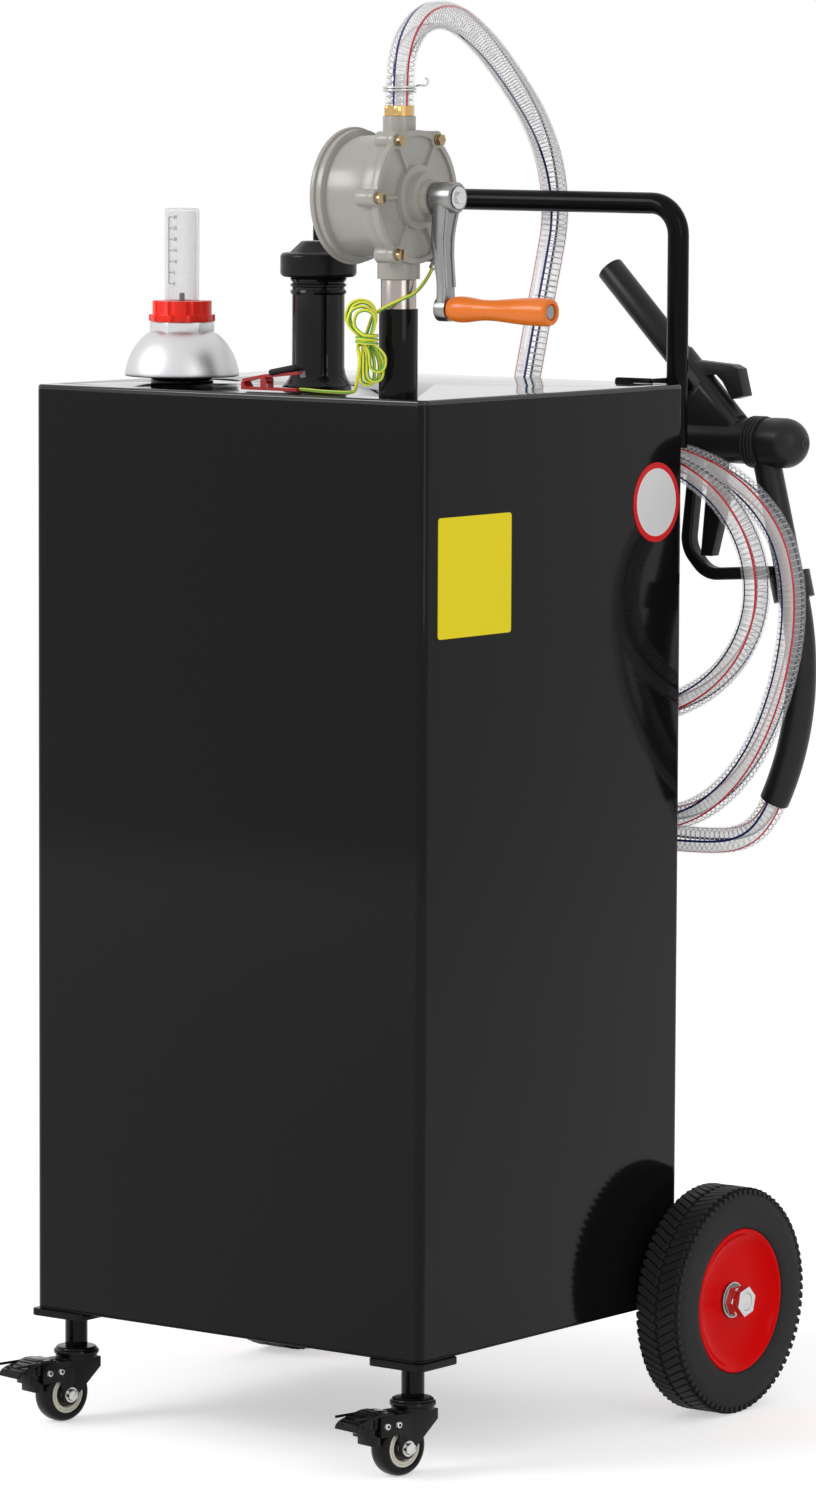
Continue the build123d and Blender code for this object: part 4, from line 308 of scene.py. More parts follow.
# each stripe from its share of the way round
hoseLook = {
    "stripes": (
        (0.0, wallClear), (0.21, lineBlue), (0.235, bandWhite), (0.36, lineRed), (0.385, wallClear),
        (0.71, lineBlue), (0.735, bandWhite), (0.86, lineRed), (0.885, wallClear),
    ),
    "rough": 0.08, "ior": 1.5, "grain": 350, "bump": 0.1, "edge": (0.4, 0.2),
}
wireLook = {
    "stripes": (
        (0.0, wireYellow), (0.3, wireGreen), (0.45, wireYellow), (0.8, wireGreen), (0.95, wireYellow),
    ),
    "rough": 0.35, "ior": 1.5, "grain": 350, "bump": 0.1,
}
finishes["clear tube"] = clearFinish("clear tube", tubeLook)
finishes["clear hose"] = stripedFinish("clear hose", hoseLook)
finishes["striped wire"] = stripedFinish("striped wire", wireLook)

# The slots whose finish has another name than theirs, and the nodes that differ from their slot
slotFinish = {
    "caster_rubber": "caster tread", "caster_cream": "hub cream", "tyre_black": "tyre rubber",
    "zinc_steel": "zinc", "vane_plastic": "seal rubber", "bung_black": "neck black",
    "hose_clear": "clear hose", "wire_green": "striped wire", "clip_black": "clip red",
}
nodeFinish = {
    "tank_top": "top black", "filler_neck": "neck black", "riser_pipe": "pipe steel",
    "hand_sleeve": "nozzle black",
}
nodeSlot = {part["node"]: part["material_slot"] for part in frame["record"]["subparts"]}
nodeBody = {
    node: body for body, members in frame["record"]["behaviour"]["bodies"].items() for node in members
}


def lookOf(node):
    slot = nodeSlot[node]
    return nodeFinish.get(node, slotFinish.get(slot, slot.replace("_", " ")))


for node in nodeSlot:
    mesh = nodes[node].data
    mesh.materials.clear()
    mesh.materials.append(finishes[lookOf(node)])
print("finishes made")


# Making and keeping pieces
def keepPiece(piece, look, body="tank", replaced=()):
    piece.data.materials.append(finishes[look])
    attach(piece, body)
    if replaced:
        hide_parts(*replaced)


def addPiece(name, shape, look, body="tank", replaced=(), sharp=32):
    # A bmesh becomes a piece with smooth faces, and rides on its body
    mesh = bpy.data.meshes.new(name)
    shape.to_mesh(mesh)
    shape.free()
    for face in mesh.polygons:
        face.use_smooth = True
    mesh.set_sharp_from_angle(angle=radians(sharp))
    keepPiece(newObject(name, mesh), look, body, replaced)


def standIn(name, shape, look, node, sharp=32):
    # A piece that takes the place of one CAD node, and rides on that node's body
    addPiece(name, shape, look, nodeBody[node], (node,), sharp)


def roundEdges(shape, edges, width, segments=2):
    bmesh.ops.bevel(
        shape, geom=edges, offset=width, offset_type="OFFSET", segments=segments, profile=0.5,
        affect="EDGES", clamp_overlap=True, material=-1,
    )


softAngle, flatAngle = 35, 1  # edges sharper than the first are rounded, and flatter than the second go
mergeDistance = 0.00001


def softened(node, width, segments=2):
    # The CAD node with its edges rounded, as cast, rolled or moulded ones are, inside its own box
    shape = bmesh.new()
    shape.from_mesh(nodes[node].data)
    bmesh.ops.remove_doubles(shape, verts=shape.verts, dist=mergeDistance)
    flat = radians(flatAngle)
    bmesh.ops.dissolve_limit(shape, angle_limit=flat, verts=shape.verts, edges=shape.edges)
    low, high = [
        [pick(vertex.co[axis] for vertex in shape.verts) for axis in range(3)] for pick in (min, max)
    ]
    sharp = [
        edge for edge in shape.edges
        if len(edge.link_faces) == 2 and edge.calc_face_angle(0) > radians(softAngle)
    ]
    roundEdges(shape, sharp, width, segments)
    for vertex in shape.verts:
        for axis in range(3):
            vertex.co[axis] = min(max(vertex.co[axis], low[axis]), high[axis])
    standIn(node + "_soft", shape, lookOf(node), node)


def turnedShape(profile, steps=64, closed=False):
    # Spun about Z from (radius, height) places; recalculated so that it faces outwards
    shape = bmesh.new()
    spots = [shape.verts.new((radius, 0, height)) for radius, height in profile]
    pairs = list(zip(spots, spots[1:])) + ([(spots[-1], spots[0])] if closed else [])
    for a, b in pairs:
        shape.edges.new((a, b))
    bmesh.ops.spin(
        shape, geom=shape.verts[:] + shape.edges[:], cent=(0, 0, 0), axis=(0, 0, 1),
        angle=2 * pi, steps=steps, use_merge=True,
    )
    bmesh.ops.remove_doubles(shape, verts=shape.verts, dist=0.000001)
    bmesh.ops.recalc_face_normals(shape, faces=shape.faces)
    return shape


def placed(shape, matrix):
    bmesh.ops.transform(shape, matrix=matrix, verts=shape.verts)
    if matrix.determinant() < 0:
        bmesh.ops.reverse_faces(shape, faces=shape.faces)
    return shape


def axisMatrix(place, way):
    # Local Z points along the way from the place
    turn = Vector(way).to_track_quat("Z", "Y").to_matrix().to_4x4()
    return moveTo(place) @ turn


def joined(*shapes):
    # Several shapes as one
    whole = bmesh.new()
    for shape in shapes:
        mesh = bpy.data.meshes.new("part")
        shape.to_mesh(mesh)
        shape.free()
        whole.from_mesh(mesh)
        bpy.data.meshes.remove(mesh)
    return whole


def boxShape(size, place=(0, 0, 0), bevel=0.0, segments=2):
    shape = bmesh.new()
    bmesh.ops.create_cube(shape, size=1)
    placed(shape, moveTo(place) @ Matrix.Diagonal((*size, 1)))
    if bevel:
        roundEdges(shape, shape.edges[:], bevel, segments)
    return shape


def hexagonBar(radius, low, high, bevel, turn=0.0):
    shape = bmesh.new()
    bmesh.ops.create_cone(
        shape, cap_ends=True, cap_tris=False, segments=6, radius1=radius, radius2=radius, depth=high - low,
    )
    placed(shape, moveTo((0, 0, (low + high) / 2)) @ Matrix.Rotation(turn, 4, "Z"))
    roundEdges(shape, shape.edges[:], bevel)
    return shape


def mirroredProfile(half):
    # A profile for one side, and the same for the other: (radius, height) from the middle out
    return half + [(radius, -height) for radius, height in reversed(half)]


def ringShape(profile, radius, height):
    # A raised ring from a profile round the middle of its foot
    return turnedShape([(radius + out, height + up) for out, up in profile])


def curveObject(name, lines, kind="NURBS", resolution=12, radius=0.0, rounding=3):
    # Curves with these points as their control points
    curve = bpy.data.curves.new(name, "CURVE")
    curve.dimensions = "3D"
    for points in lines:
        line = curve.splines.new(kind)
        line.points.add(len(points) - 1)
        for spot, point in zip(line.points, points):
            spot.co = (*point, 1)
        line.order_u = 3
        line.use_endpoint_u = True
        line.resolution_u = resolution
    curve.resolution_u = resolution
    curve.use_fill_caps = kind == "NURBS"
    curve.bevel_depth = radius
    curve.bevel_resolution = rounding
    return newObject(name, curve)


def keepMesh(piece, name):
    # The curve's bevelled form as a mesh of its own
    mesh = bpy.data.meshes.new_from_object(piece.evaluated_get(bpy.context.evaluated_depsgraph_get()))
    mesh.name = name
    bpy.data.objects.remove(piece)
    for face in mesh.polygons:
        face.use_smooth = True
    return newObject(name, mesh)


def helixPoints(path, radius, pitch, perTurn):
    # A helix about the path, at even steps and turned with it so that it never twists suddenly
    points = []
    side = (path[1] - path[0]).orthogonal().normalized()
    carried, step = 0.0, pitch / perTurn
    for a, b in zip(path, path[1:]):
        span, way = (b - a).length, (b - a).normalized()
        while carried < span:
            side = (side - way * side.dot(way)).normalized()
            turn = 2 * pi * len(points) / perTurn
            out = side * cos(turn) * radius + way.cross(side) * sin(turn) * radius
            points.append(a + way * carried + out)
            carried += step
        carried -= span
    return points


def cordOf(name, controls, outside, rounding):
    # A cord's mesh and the points of its centreline
    route = curveObject(name + " line", [controls], resolution=8)
    mesh = bpy.data.meshes.new_from_object(route)
    path = [vertex.co.copy() for vertex in mesh.vertices]
    bpy.data.meshes.remove(mesh)
    print(name, "length", round(sum((b - a).length for a, b in zip(path, path[1:])), 3))
    route.data.bevel_depth = outside / 2
    route.data.bevel_resolution = rounding
    return keepMesh(route, name), path


# The cords' end fittings, with softer edges
for node in ("hand_sleeve", "ring_terminal"):
    softened(node, 0.0005)

# Hose: one clear hose from the pump over the rear edge, wound on the hook, down to the nozzle
hose = {
    "outside": 0.025, "wall": 0.003, "length": 3.07, "helix pitch": 0.0052, "wire": 0.0008,
    "rounding": 6, "helix steps": 12,
    "route": (
        (0.163, -0.161, 1.163), (0.163, -0.161, 1.197), (0.157, -0.141, 1.222), (0.145, -0.101, 1.239),
        (0.126, -0.036, 1.24), (0.104, 0.04, 1.216), (0.084, 0.11, 1.181), (0.062, 0.174, 1.147),
        (0.046, 0.219, 1.108), (0.039, 0.237, 1.062), (0.034, 0.231, 1.016), (0.032, 0.218, 0.966),
        (0.0282, 0.2068, 0.91), (0.014, 0.2068, 0.84), (-0.008, 0.2068, 0.776),
    ),
    # where each quarter turn ends: left, bottom, right and top of the three loops
    "turns": (
        (-0.008, 0.2068, 0.738), (0.136, 0.2068, 0.623), (0.28, 0.2068, 0.738), (0.143, 0.2068, 0.853),
        (0.01, 0.2338, 0.735), (0.155, 0.2338, 0.526), (0.3, 0.2338, 0.735), (0.147, 0.2338, 0.853),
        (0.012, 0.2608, 0.735), (0.165, 0.2608, 0.505),
    ),
    "end": (
        (0.197, 0.2618, 0.505), (0.229, 0.264, 0.5095), (0.2505, 0.267, 0.5255), (0.2602, 0.268, 0.5454),
    ),
}


def quarterTurn(start, end, sideways):
    # Three points outside a quarter of an ellipse, which the spline then follows
    corner = Vector((end.x, 0, start.z)) if sideways else Vector((start.x, 0, end.z))
    first = Vector((start.x, 0, start.z)) - corner
    second = Vector((end.x, 0, end.z)) - corner
    points = []
    for step in (1, 3, 5):
        turn = radians(15 * step)
        point = corner + (first * cos(turn) + second * sin(turn)) / cos(radians(15))
        point.y = start.y + (end.y - start.y) * step / 6
        points.append(point)
    return points


def hoseControls():
    points = [at(*place) for place in hose["route"]]
    turns = [at(*place) for place in hose["turns"]]
    for number, (start, end) in enumerate(zip(turns, turns[1:])):
        points += quarterTurn(start, end, number % 2 == 0)
    return points + [at(*place) for place in hose["end"]]


def makeHose():
    tube, path = cordOf("clear_hose", hoseControls(), hose["outside"], hose["rounding"])
    radius = hose["outside"] / 2 - hose["wall"] / 2
    coil = helixPoints(path, radius, hose["helix pitch"], hose["helix steps"])
    helix = curveObject("helix line", [coil], "POLY", radius=hose["wire"] / 2, rounding=0)
    helix = keepMesh(helix, "hose_helix")
    keepPiece(tube, "clear hose", replaced=("supply_hose", "hose_loops"))
    keepPiece(helix, "helix steel")


makeHose()

# Ground wire: from the pump's cover bolt into a tied hank, and down to the clip on the tank
wire = {
    "outside": 0.003, "length": 0.99,
    "upper": (
        (0.1847, -0.1431, 1.0266), (0.1847, -0.1485, 1.0194), (0.1825, -0.163, 1.006),
        (0.177, -0.176, 1.0015),
    ),
    "lower": (
        (0.147, -0.199, 0.9285), (0.138, -0.188, 0.9235), (0.125, -0.178, 0.9214), (0.11, -0.172, 0.9208),
        (0.095, -0.1695, 0.9207), (0.08, -0.167, 0.9209), (0.07, -0.165, 0.9215), (0.061, -0.165, 0.9215),
    ),
    "hank": (0.1573, -0.1974, 0.967), "hank angle": 37, "pitch": 0.0032, "waist": 0.0018,
    # aside and up, into the hank from above and out of it below
    "into": ((0.0051, 0.0226), (0.0025, 0.014)),
    "out of": ((-0.006, -0.014), (-0.006, -0.023)), "out": 0.0065,
    # each turn's loops below and above the waist: aside, half their width, and their height
    "below": ((0.0005, 0.0055, 0.036), (0.004, 0.006, 0.034), (0.007, 0.006, 0.033), (0.009, 0.006, 0.025)),
    "above": (
        (-0.005, 0.0115, 0.033), (-0.004, 0.0095, 0.031), (-0.0045, 0.0105, 0.028), (-0.002, 0.008, 0.025),
    ),
    # shares of a loop's half width and height: at its foot, its bulge, its end and the corner before it
    "foot": (1.06, 0.44), "bulge": 1.1, "far": 1.05, "corner": (0.76, 0.3),
    "early": 0.4,  # how far of a pitch the wire has moved out when it leaves a lower loop
    # the wraps round the waist
    "wraps": 2.75, "wrap start": 110, "wrap": (0.0085, 0.0109), "wrap pitch": 0.0033, "wrap rise": 0.005,
    "wrap out": 1.035,  # the spline runs a little inside its control points
}


def loopPoints(aside, half, reach, way):
    # One loop of the hank from one side of the waist to the other, seen from the front: aside and up.
    # Its end is a half circle as wide as the loop
    far, wide = reach * wire["far"], half * wire["bulge"]
    foot, corner = wire["foot"], wire["corner"]
    side = [(half * foot[0], reach * foot[1]), (wide, far - wide)]
    side.append((wide * corner[0], far - wide * corner[1]))
    points = side + [(0, far)] + [(-x, z) for x, z in reversed(side)]
    return [(aside + way * x, way * z) for x, z in points]


def wireControls():
    angle = radians(wire["hank angle"])
    right = Vector((cos(angle), sin(angle), 0))
    out = Vector((sin(angle), -cos(angle), 0))
    middle = at(*wire["hank"])

    def spot(aside, rise, depth):
        return middle + right * aside + Vector((0, 0, rise)) + out * depth

    pitch, waist = wire["pitch"], wire["waist"]
    depth = -2 * pitch
    points = [at(*place) for place in wire["upper"]] + [spot(x, z, depth) for x, z in wire["into"]]
    points.append(spot(-waist, 0.001, depth))
    for turn, (below, above) in enumerate(zip(wire["below"], wire["above"])):
        loop = loopPoints(*below, -1)
        points += [spot(x, z, depth) for x, z in loop[:-1]]
        points.append(spot(*loop[-1], depth + pitch * wire["early"]))
        depth += pitch
        points.append(spot(waist, 0, depth))
        points += [spot(x, z, depth) for x, z in loopPoints(*above, 1)]
        if turn < len(wire["below"]) - 1:
            points.append(spot(-waist, 0, depth))
    wide, deep = [side * wire["wrap out"] for side in wire["wrap"]]
    for step in range(int(wire["wraps"] * 12) + 1):
        turn = radians(wire["wrap start"] - 30 * step)
        rise = wire["wrap rise"] - wire["wrap pitch"] * step / 12
        points.append(spot(wide * cos(turn), rise, deep * sin(turn)))
    points += [spot(x, z, wire["out"]) for x, z in wire["out of"]]
    return points + [at(*place) for place in wire["lower"]]


def makeWire():
    cord, path = cordOf("ground_wire", wireControls(), wire["outside"], 3)
    shown = ("ground_wire_upper", "wire_hank", "ground_wire_lower")
    keepPiece(cord, "striped wire", replaced=shown)


makeWire()
print("cords made")

# Tank, handle and everything whose CAD shape only wants softer edges
softEdges = {
    "tank_shell": 0.0007, "tank_floor": 0.0007, "tank_top": 0.0005, "caster_mounts": 0.0008,
    "axle_brackets": 0.0008, "push_handle": 0.0004, "rear_hooks": 0.0007, "rear_axle": 0.001,
    "axle_nuts": 0.0007, "riser_sleeve": 0.0012, "riser_pipe": 0.0005, "pump_housing": 0.0011,
    "pump_back_plate": 0.0009, "pump_cover": 0.0007, "pump_bush": 0.0004, "pump_bolts": 0.0005,
    "crank_shaft": 0.0006, "crank_arm": 0.0022, "crank_grip": 0.0006,
    "filler_neck": 0.0008, "filler_cap": 0.0018, "gauge_bung": 0.0006, "gauge_ring_nut": 0.0009,
    "nozzle_spout": 0.0008, "nozzle_body": 0.0016, "nozzle_guard": 0.002, "nozzle_lever": 0.0016,
    "caster_fork_left": 0.0009, "caster_fork_right": 0.0009,
}
for node, width in softEdges.items():
    softened(node, width, 3 if width > 0.001 else 2)
print("edges softened")

# Rear wheels: a carcass with herringbone blocks, and a red dished rim
rearWheel = {
    "middle": 0.242, "axle": (0.217, 0.1015), "pitch": 78, "block": (0.0205, 0.006, 0.003),
    "tread": 0.0989, "slant": 30, "aside": 0.0103, "sunk": 0.0006, "rounding": 0.0006,
    "shoulder": ((0.0048, 0.0044, 0.0026), (0.0052, 0.0968, 0.0214)),
    "washer": [(0.0082, 0.0145), (0.015, 0.0144), (0.0163, 0.0138), (0.0163, 0.0122), (0.0082, 0.0122)],
    "tyre": [
        (0.0648, 0.0205), (0.0662, 0.0222), (0.0685, 0.0228), (0.0755, 0.0229), (0.085, 0.023),
        (0.0905, 0.0228), (0.0945, 0.0221), (0.097, 0.0208), (0.0984, 0.018), (0.0989, 0.012), (0.099, 0.0),
    ],
    "rim": [
        (0.00812, -0.0228), (0.00812, 0.0118), (0.0092, 0.012), (0.0162, 0.012), (0.02, 0.0119),
        (0.026, 0.0114), (0.033, 0.0112), (0.04, 0.0115), (0.046, 0.0122), (0.051, 0.0135),
        (0.055, 0.0154), (0.058, 0.0176), (0.06, 0.0197), (0.0616, 0.0211), (0.063, 0.0217),
        (0.0642, 0.0214), (0.0648, 0.0204), (0.0648, -0.0198), (0.062, -0.0206), (0.0612, -0.019),
        (0.06, 0.005), (0.056, 0.0088), (0.018, 0.0088), (0.017, 0.007), (0.017, -0.0222),
        (0.0164, -0.0228),
    ],
}


sides = ((-1, "left"), (1, "right"))


def treadBlocks(wheel):
    # Slanted blocks on each half of the tread, mirrored about its middle, and short ones on the shoulders
    long, wide, high = wheel["block"]
    block = boxShape((wide, high, long), (0, 0, 0), wheel["rounding"], 1)
    out = wheel["tread"] + high / 2 - wheel["sunk"]
    slant = Matrix.Rotation(radians(wheel["slant"]), 4, "Y")
    placed(block, moveTo((0, out, wheel["aside"])) @ slant)
    half = joined(block, boxShape(*wheel["shoulder"], wheel["rounding"], 1))
    other = half.copy()
    bmesh.ops.scale(other, vec=(1, 1, -1), verts=other.verts)
    bmesh.ops.reverse_faces(other, faces=other.faces)
    step = 2 * pi / wheel["pitch"]
    bmesh.ops.rotate(other, verts=other.verts, cent=(0, 0, 0), matrix=Matrix.Rotation(step / 2, 3, "Z"))
    pair = joined(half, other)
    start = pair.verts[:] + pair.edges[:] + pair.faces[:]
    for number in range(1, wheel["pitch"]):
        more = bmesh.ops.duplicate(pair, geom=start)["geom"]
        spots = [item for item in more if isinstance(item, bmesh.types.BMVert)]
        bmesh.ops.rotate(pair, verts=spots, cent=(0, 0, 0), matrix=Matrix.Rotation(number * step, 3, "Z"))
    return pair


def makeRearWheels(wheel):
    for side, name in sides:
        hub = axisMatrix(at(side * wheel["middle"], *wheel["axle"]), (side, 0, 0))
        carcass = turnedShape(mirroredProfile(wheel["tyre"]), 96)
        tyre = placed(joined(carcass, treadBlocks(wheel)), hub)
        standIn(f"treaded_tyre_{name}", tyre, "tyre rubber", f"tyre_{name}")
        rim = placed(turnedShape(wheel["rim"], 96, closed=True), hub)
        washer = placed(turnedShape(wheel["washer"], 64, closed=True), hub)
        addPiece(f"wheel_washer_{name}", washer, "dark zinc")
        standIn(f"red_rim_{name}", rim, "wheel red", f"wheel_rim_{name}", 40)


makeRearWheels(rearWheel)
print("rear wheels made")

# Casters: rounded tread, grooved cream hub, bearing, rivets and bolt, ribbed pedal
caster = {
    "place": (0.187, -0.166), "toe": 11, "trail": 0.017, "radius": 0.025,
    "tread": [
        (0.0174, 0.0082), (0.018, 0.0096), (0.0196, 0.01), (0.0214, 0.0096), (0.023, 0.0084),
        (0.0241, 0.0066), (0.0248, 0.0042), (0.025, 0.0),
    ],
    "hub": [
        (0.0031, 0.0078), (0.005, 0.0078), (0.0054, 0.0052), (0.0112, 0.005), (0.0118, 0.0078),
        (0.0124, 0.0086), (0.0138, 0.0086), (0.0142, 0.0074), (0.0149, 0.0074), (0.0153, 0.0088),
        (0.0168, 0.0088), (0.0173, 0.008),
    ],
    "bearing": [(0.0052, 0.0058), (0.007, 0.0064), (0.01, 0.0064), (0.0112, 0.0056)],
    "cheek": 0.0135, "rivets": ((0.028, 0.047), (0.041, 0.047)),
    "rivet": [
        (0, 0.0007), (0.0012, 0.0007), (0.0014, 0.0017), (0.0026, 0.0014), (0.0033, 0.0002),
        (0.0033, -0.001),
    ],
    "bolt": (0.0056, 0.0, 0.0042, 0.0005),  # radius, foot, top and rounding
    "washer": [(0, 0.0009), (0.0068, 0.0009), (0.007, 0.0004), (0.007, -0.0006)],
    "head": [
        (0.012, 0.0657), (0.015, 0.0656), (0.0158, 0.064), (0.0168, 0.0634), (0.0184, 0.0636),
        (0.0197, 0.0628), (0.0203, 0.0612), (0.0199, 0.0594), (0.0186, 0.0586), (0.0186, 0.056),
    ],
}
pedal = {
    # forward from the stem and up, along the middle of the plate
    "top": (
        (0.033, 0.0572), (0.04, 0.059), (0.048, 0.0588), (0.056, 0.0572), (0.063, 0.0554),
        (0.069, 0.0538), (0.0735, 0.052), (0.0762, 0.0495), (0.0774, 0.0465),
    ),
    "wide": 0.0264, "thick": 0.0026, "ribs": (2, 7), "rib": (0.0022, 0.0016, 0.0236), "rib down": 0.0002,
    "rail": ((0.044, 0.0022, 0.0018), (0.0555, 0.0566, 0.0122)),
    "arm": ((0.019, 0.014, 0.0204), (0.043, 0.052, 0)),
    # each tooth: forward, up and its depth
    "teeth": ((0.059, 0.05, 0.013), (0.0545, 0.0425, 0.011), (0.05, 0.035, 0.009)),
    "tooth": (0.009, 0.02), "rib rounding": 0.0005, "tooth rounding": 0.0008, "arm rounding": 0.0012,
}


def casterFrame(side):
    # Local X forward, local Z out to the side, local Y up, at the stem's foot
    toe = radians(caster["toe"])
    forward = Vector((-sin(toe), -cos(toe), 0))
    across = Vector((cos(toe), -sin(toe), 0))
    turn = Matrix((forward, Vector((0, 0, 1)), -across)).transposed().to_4x4()
    return moveTo(at(side * caster["place"][0], caster["place"][1], 0)) @ turn


def casterFasteners(parts):
    # Rivets, bolt and washer on both cheeks
    fasteners = []
    for face in (1, -1):
        mirror = Matrix.Diagonal((1, 1, face, 1))
        for along, up in parts["rivets"]:
            spot = moveTo((along, up, face * parts["cheek"])) @ mirror
            fasteners.append(placed(turnedShape(parts["rivet"], 32), spot))
        spot = moveTo((parts["trail"], parts["radius"], face * parts["cheek"])) @ mirror
        fasteners.append(placed(hexagonBar(*parts["bolt"]), spot))
        fasteners.append(placed(turnedShape(parts["washer"], 32), spot))
    return joined(*fasteners)


def makeCasters(parts):
    for side, name in sides:
        here = casterFrame(side)
        wheelPlace = here @ moveTo((parts["trail"], parts["radius"], 0))
        tread = placed(turnedShape(mirroredProfile(parts["tread"]), 72), wheelPlace)
        standIn(f"caster_tread_{name}", tread, "caster tread", f"caster_tyre_{name}")
        hub = placed(turnedShape(mirroredProfile(parts["hub"]), closed=True), wheelPlace)
        standIn(f"cream_hub_{name}", hub, "hub cream", f"caster_hub_{name}", 40)
        seals = [[(radius, face * out) for radius, out in parts["bearing"]] for face in (1, -1)]
        seals = placed(joined(*[turnedShape(seal, 48) for seal in seals]), wheelPlace)
        wheelBody, forkBody = nodeBody[f"caster_tyre_{name}"], nodeBody[f"caster_fork_{name}"]
        addPiece(f"caster_bearing_{name}", seals, "bearing brown", wheelBody)
        fasteners = placed(casterFasteners(parts), here)
        addPiece(f"caster_fasteners_{name}", fasteners, "zinc", forkBody)
        stand = moveTo(at(side * parts["place"][0], parts["place"][1], 0))
        head = placed(turnedShape(parts["head"]), stand)
        addPiece(f"caster_head_{name}", head, "caster black", forkBody)
        plate = placed(pedalShape(pedal), here)
        standIn(f"ribbed_pedal_{name}", plate, "caster black", f"brake_pedal_{name}")


def pedalShape(parts):
    # A curled plate with cross ribs, stepped teeth below it and the arm back to its pin
    plate = bmesh.new()
    spots = [plate.verts.new((along, up, -parts["wide"] / 2)) for along, up in parts["top"]]
    rows = [plate.edges.new(pair) for pair in zip(spots, spots[1:])]
    wide = bmesh.ops.extrude_edge_only(plate, edges=rows)["geom"]
    moved = [item for item in wide if isinstance(item, bmesh.types.BMVert)]
    bmesh.ops.translate(plate, vec=(0, 0, parts["wide"]), verts=moved)
    bmesh.ops.recalc_face_normals(plate, faces=plate.faces)
    bmesh.ops.solidify(plate, geom=plate.faces[:], thickness=parts["thick"])
    bmesh.ops.recalc_face_normals(plate, faces=plate.faces)
    pieces = [plate]
    rounding = parts["rib rounding"]
    for along, up in parts["top"][slice(*parts["ribs"])]:
        pieces.append(boxShape(parts["rib"], (along, up - parts["rib down"], 0), rounding))
    size, (along, up, aside) = parts["rail"]
    pieces += [boxShape(size, (along, up, face * aside), rounding, 1) for face in (1, -1)]
    high, broad = parts["tooth"]
    for along, up, deep in parts["teeth"]:
        pieces.append(boxShape((deep, high, broad), (along, up, 0), parts["tooth rounding"]))
    pieces.append(boxShape(*parts["arm"], parts["arm rounding"]))
    return joined(*pieces)


makeCasters(caster)
print("casters made")

# Pump outlet: brass hexagon, ribbed barb, and the wire clamp with its curled end
outlet = {
    "place": (0.163, -0.161), "foot": 1.163,
    "nut": (0.01375, 1.1547, 1.163, 0.0006, radians(30)),  # radius, foot, top, rounding and turn
    "flange": [(0.0118, 1.1545), (0.0124, 1.1548), (0.0124, 1.1634), (0, 1.1636)],
    # up from the foot: the barb's ends, and its ribs with their pitch, depth and height
    "barb ends": [(0.0072, 0), (0.0074, 0.0266), (0.007, 0.0266), (0.007, 0)],
    "barb": 0.0092, "ribs": 5, "first rib": 0.0005, "rib pitch": 0.0052, "rib": (0.0014, 0.0049),
    # the clamp's coil, and then its curled end: aside, back and up from the coil's foot
    "clamp": 1.1745, "wire": 0.0009, "coil": 0.0142, "coil points": 22, "coil rise": 0.00024,
    "coil turn": (20, 36),
    "curl": (
        (0.015, 0.008, 0.006), (0.019, 0.0105, 0.0056), (0.0222, 0.0108, 0.0078),
        (0.0222, 0.0106, 0.0112), (0.0196, 0.0098, 0.0118),
    ),
}


def upright(parts):
    return moveTo(at(*parts["place"], 0))


def makeOutlet(parts):
    nut = joined(hexagonBar(*parts["nut"]), turnedShape(parts["flange"], 48))
    addPiece("outlet_nut", placed(nut, upright(parts)), "brass")
    foot, barb = parts["foot"], parts["barb"]
    ends = [(radius, foot + up) for radius, up in parts["barb ends"]]
    profile = ends[:1]
    for number in range(parts["ribs"]):
        low = foot + parts["first rib"] + number * parts["rib pitch"]
        profile += [(barb, low), (barb - parts["rib"][0], low + parts["rib"][1])]
    shape = turnedShape(profile + ends[1:], 48)
    standIn("hose_barb", placed(shape, upright(parts)), "zinc", "outlet_barb", 25)
    spots = []
    start, each = parts["coil turn"]
    for step in range(parts["coil points"]):
        turn = radians(start + step * each)
        across = parts["coil"]
        spots.append((across * cos(turn), across * sin(turn), step * parts["coil rise"]))
    middle = at(*parts["place"], parts["clamp"])
    line = [middle + Vector(spot) for spot in (*spots, *parts["curl"])]
    clamp = keepMesh(curveObject("clamp line", [line], radius=parts["wire"]), "wire_clamp")
    keepPiece(clamp, "zinc", replaced=("hose_clamp",))


# Crank: a cast arm with two ridges along its outer face, and the hub's washer and screw
crank = {
    "y": -0.161, "hub": 1.087, "out": 0.224, "ridge": 0.0015, "ridge aside": 0.66,
    # down the arm: out from the pump, height, half its thickness and half its width
    "arm": (
        (0.2122, 1.0905, 0.007, 0.0085), (0.2122, 1.085, 0.0078, 0.0118), (0.2118, 1.0765, 0.0076, 0.0114),
        (0.2106, 1.066, 0.0067, 0.0096), (0.2096, 1.053, 0.0059, 0.0084), (0.21, 1.039, 0.0054, 0.0079),
        (0.2114, 1.025, 0.0052, 0.0078), (0.2124, 1.012, 0.0051, 0.0081), (0.2126, 1.001, 0.005, 0.009),
        (0.2126, 0.993, 0.0048, 0.0098),
    ),
    # from the hub's outer face: radius and out
    "rim": [
        (0.0078, -0.002), (0.01, -0.002), (0.0104, 0.0008), (0.0122, 0.001), (0.0128, 0.0),
        (0.0128, -0.002),
    ],
    "screw": [(0, 0.0026), (0.0092, 0.0024), (0.0096, 0.0018), (0.0096, -0.001)],
    "screw head": (0.0056, 0.0022, 0.0056, 0.0006, 0.4),  # radius, foot, top, rounding and turn
}


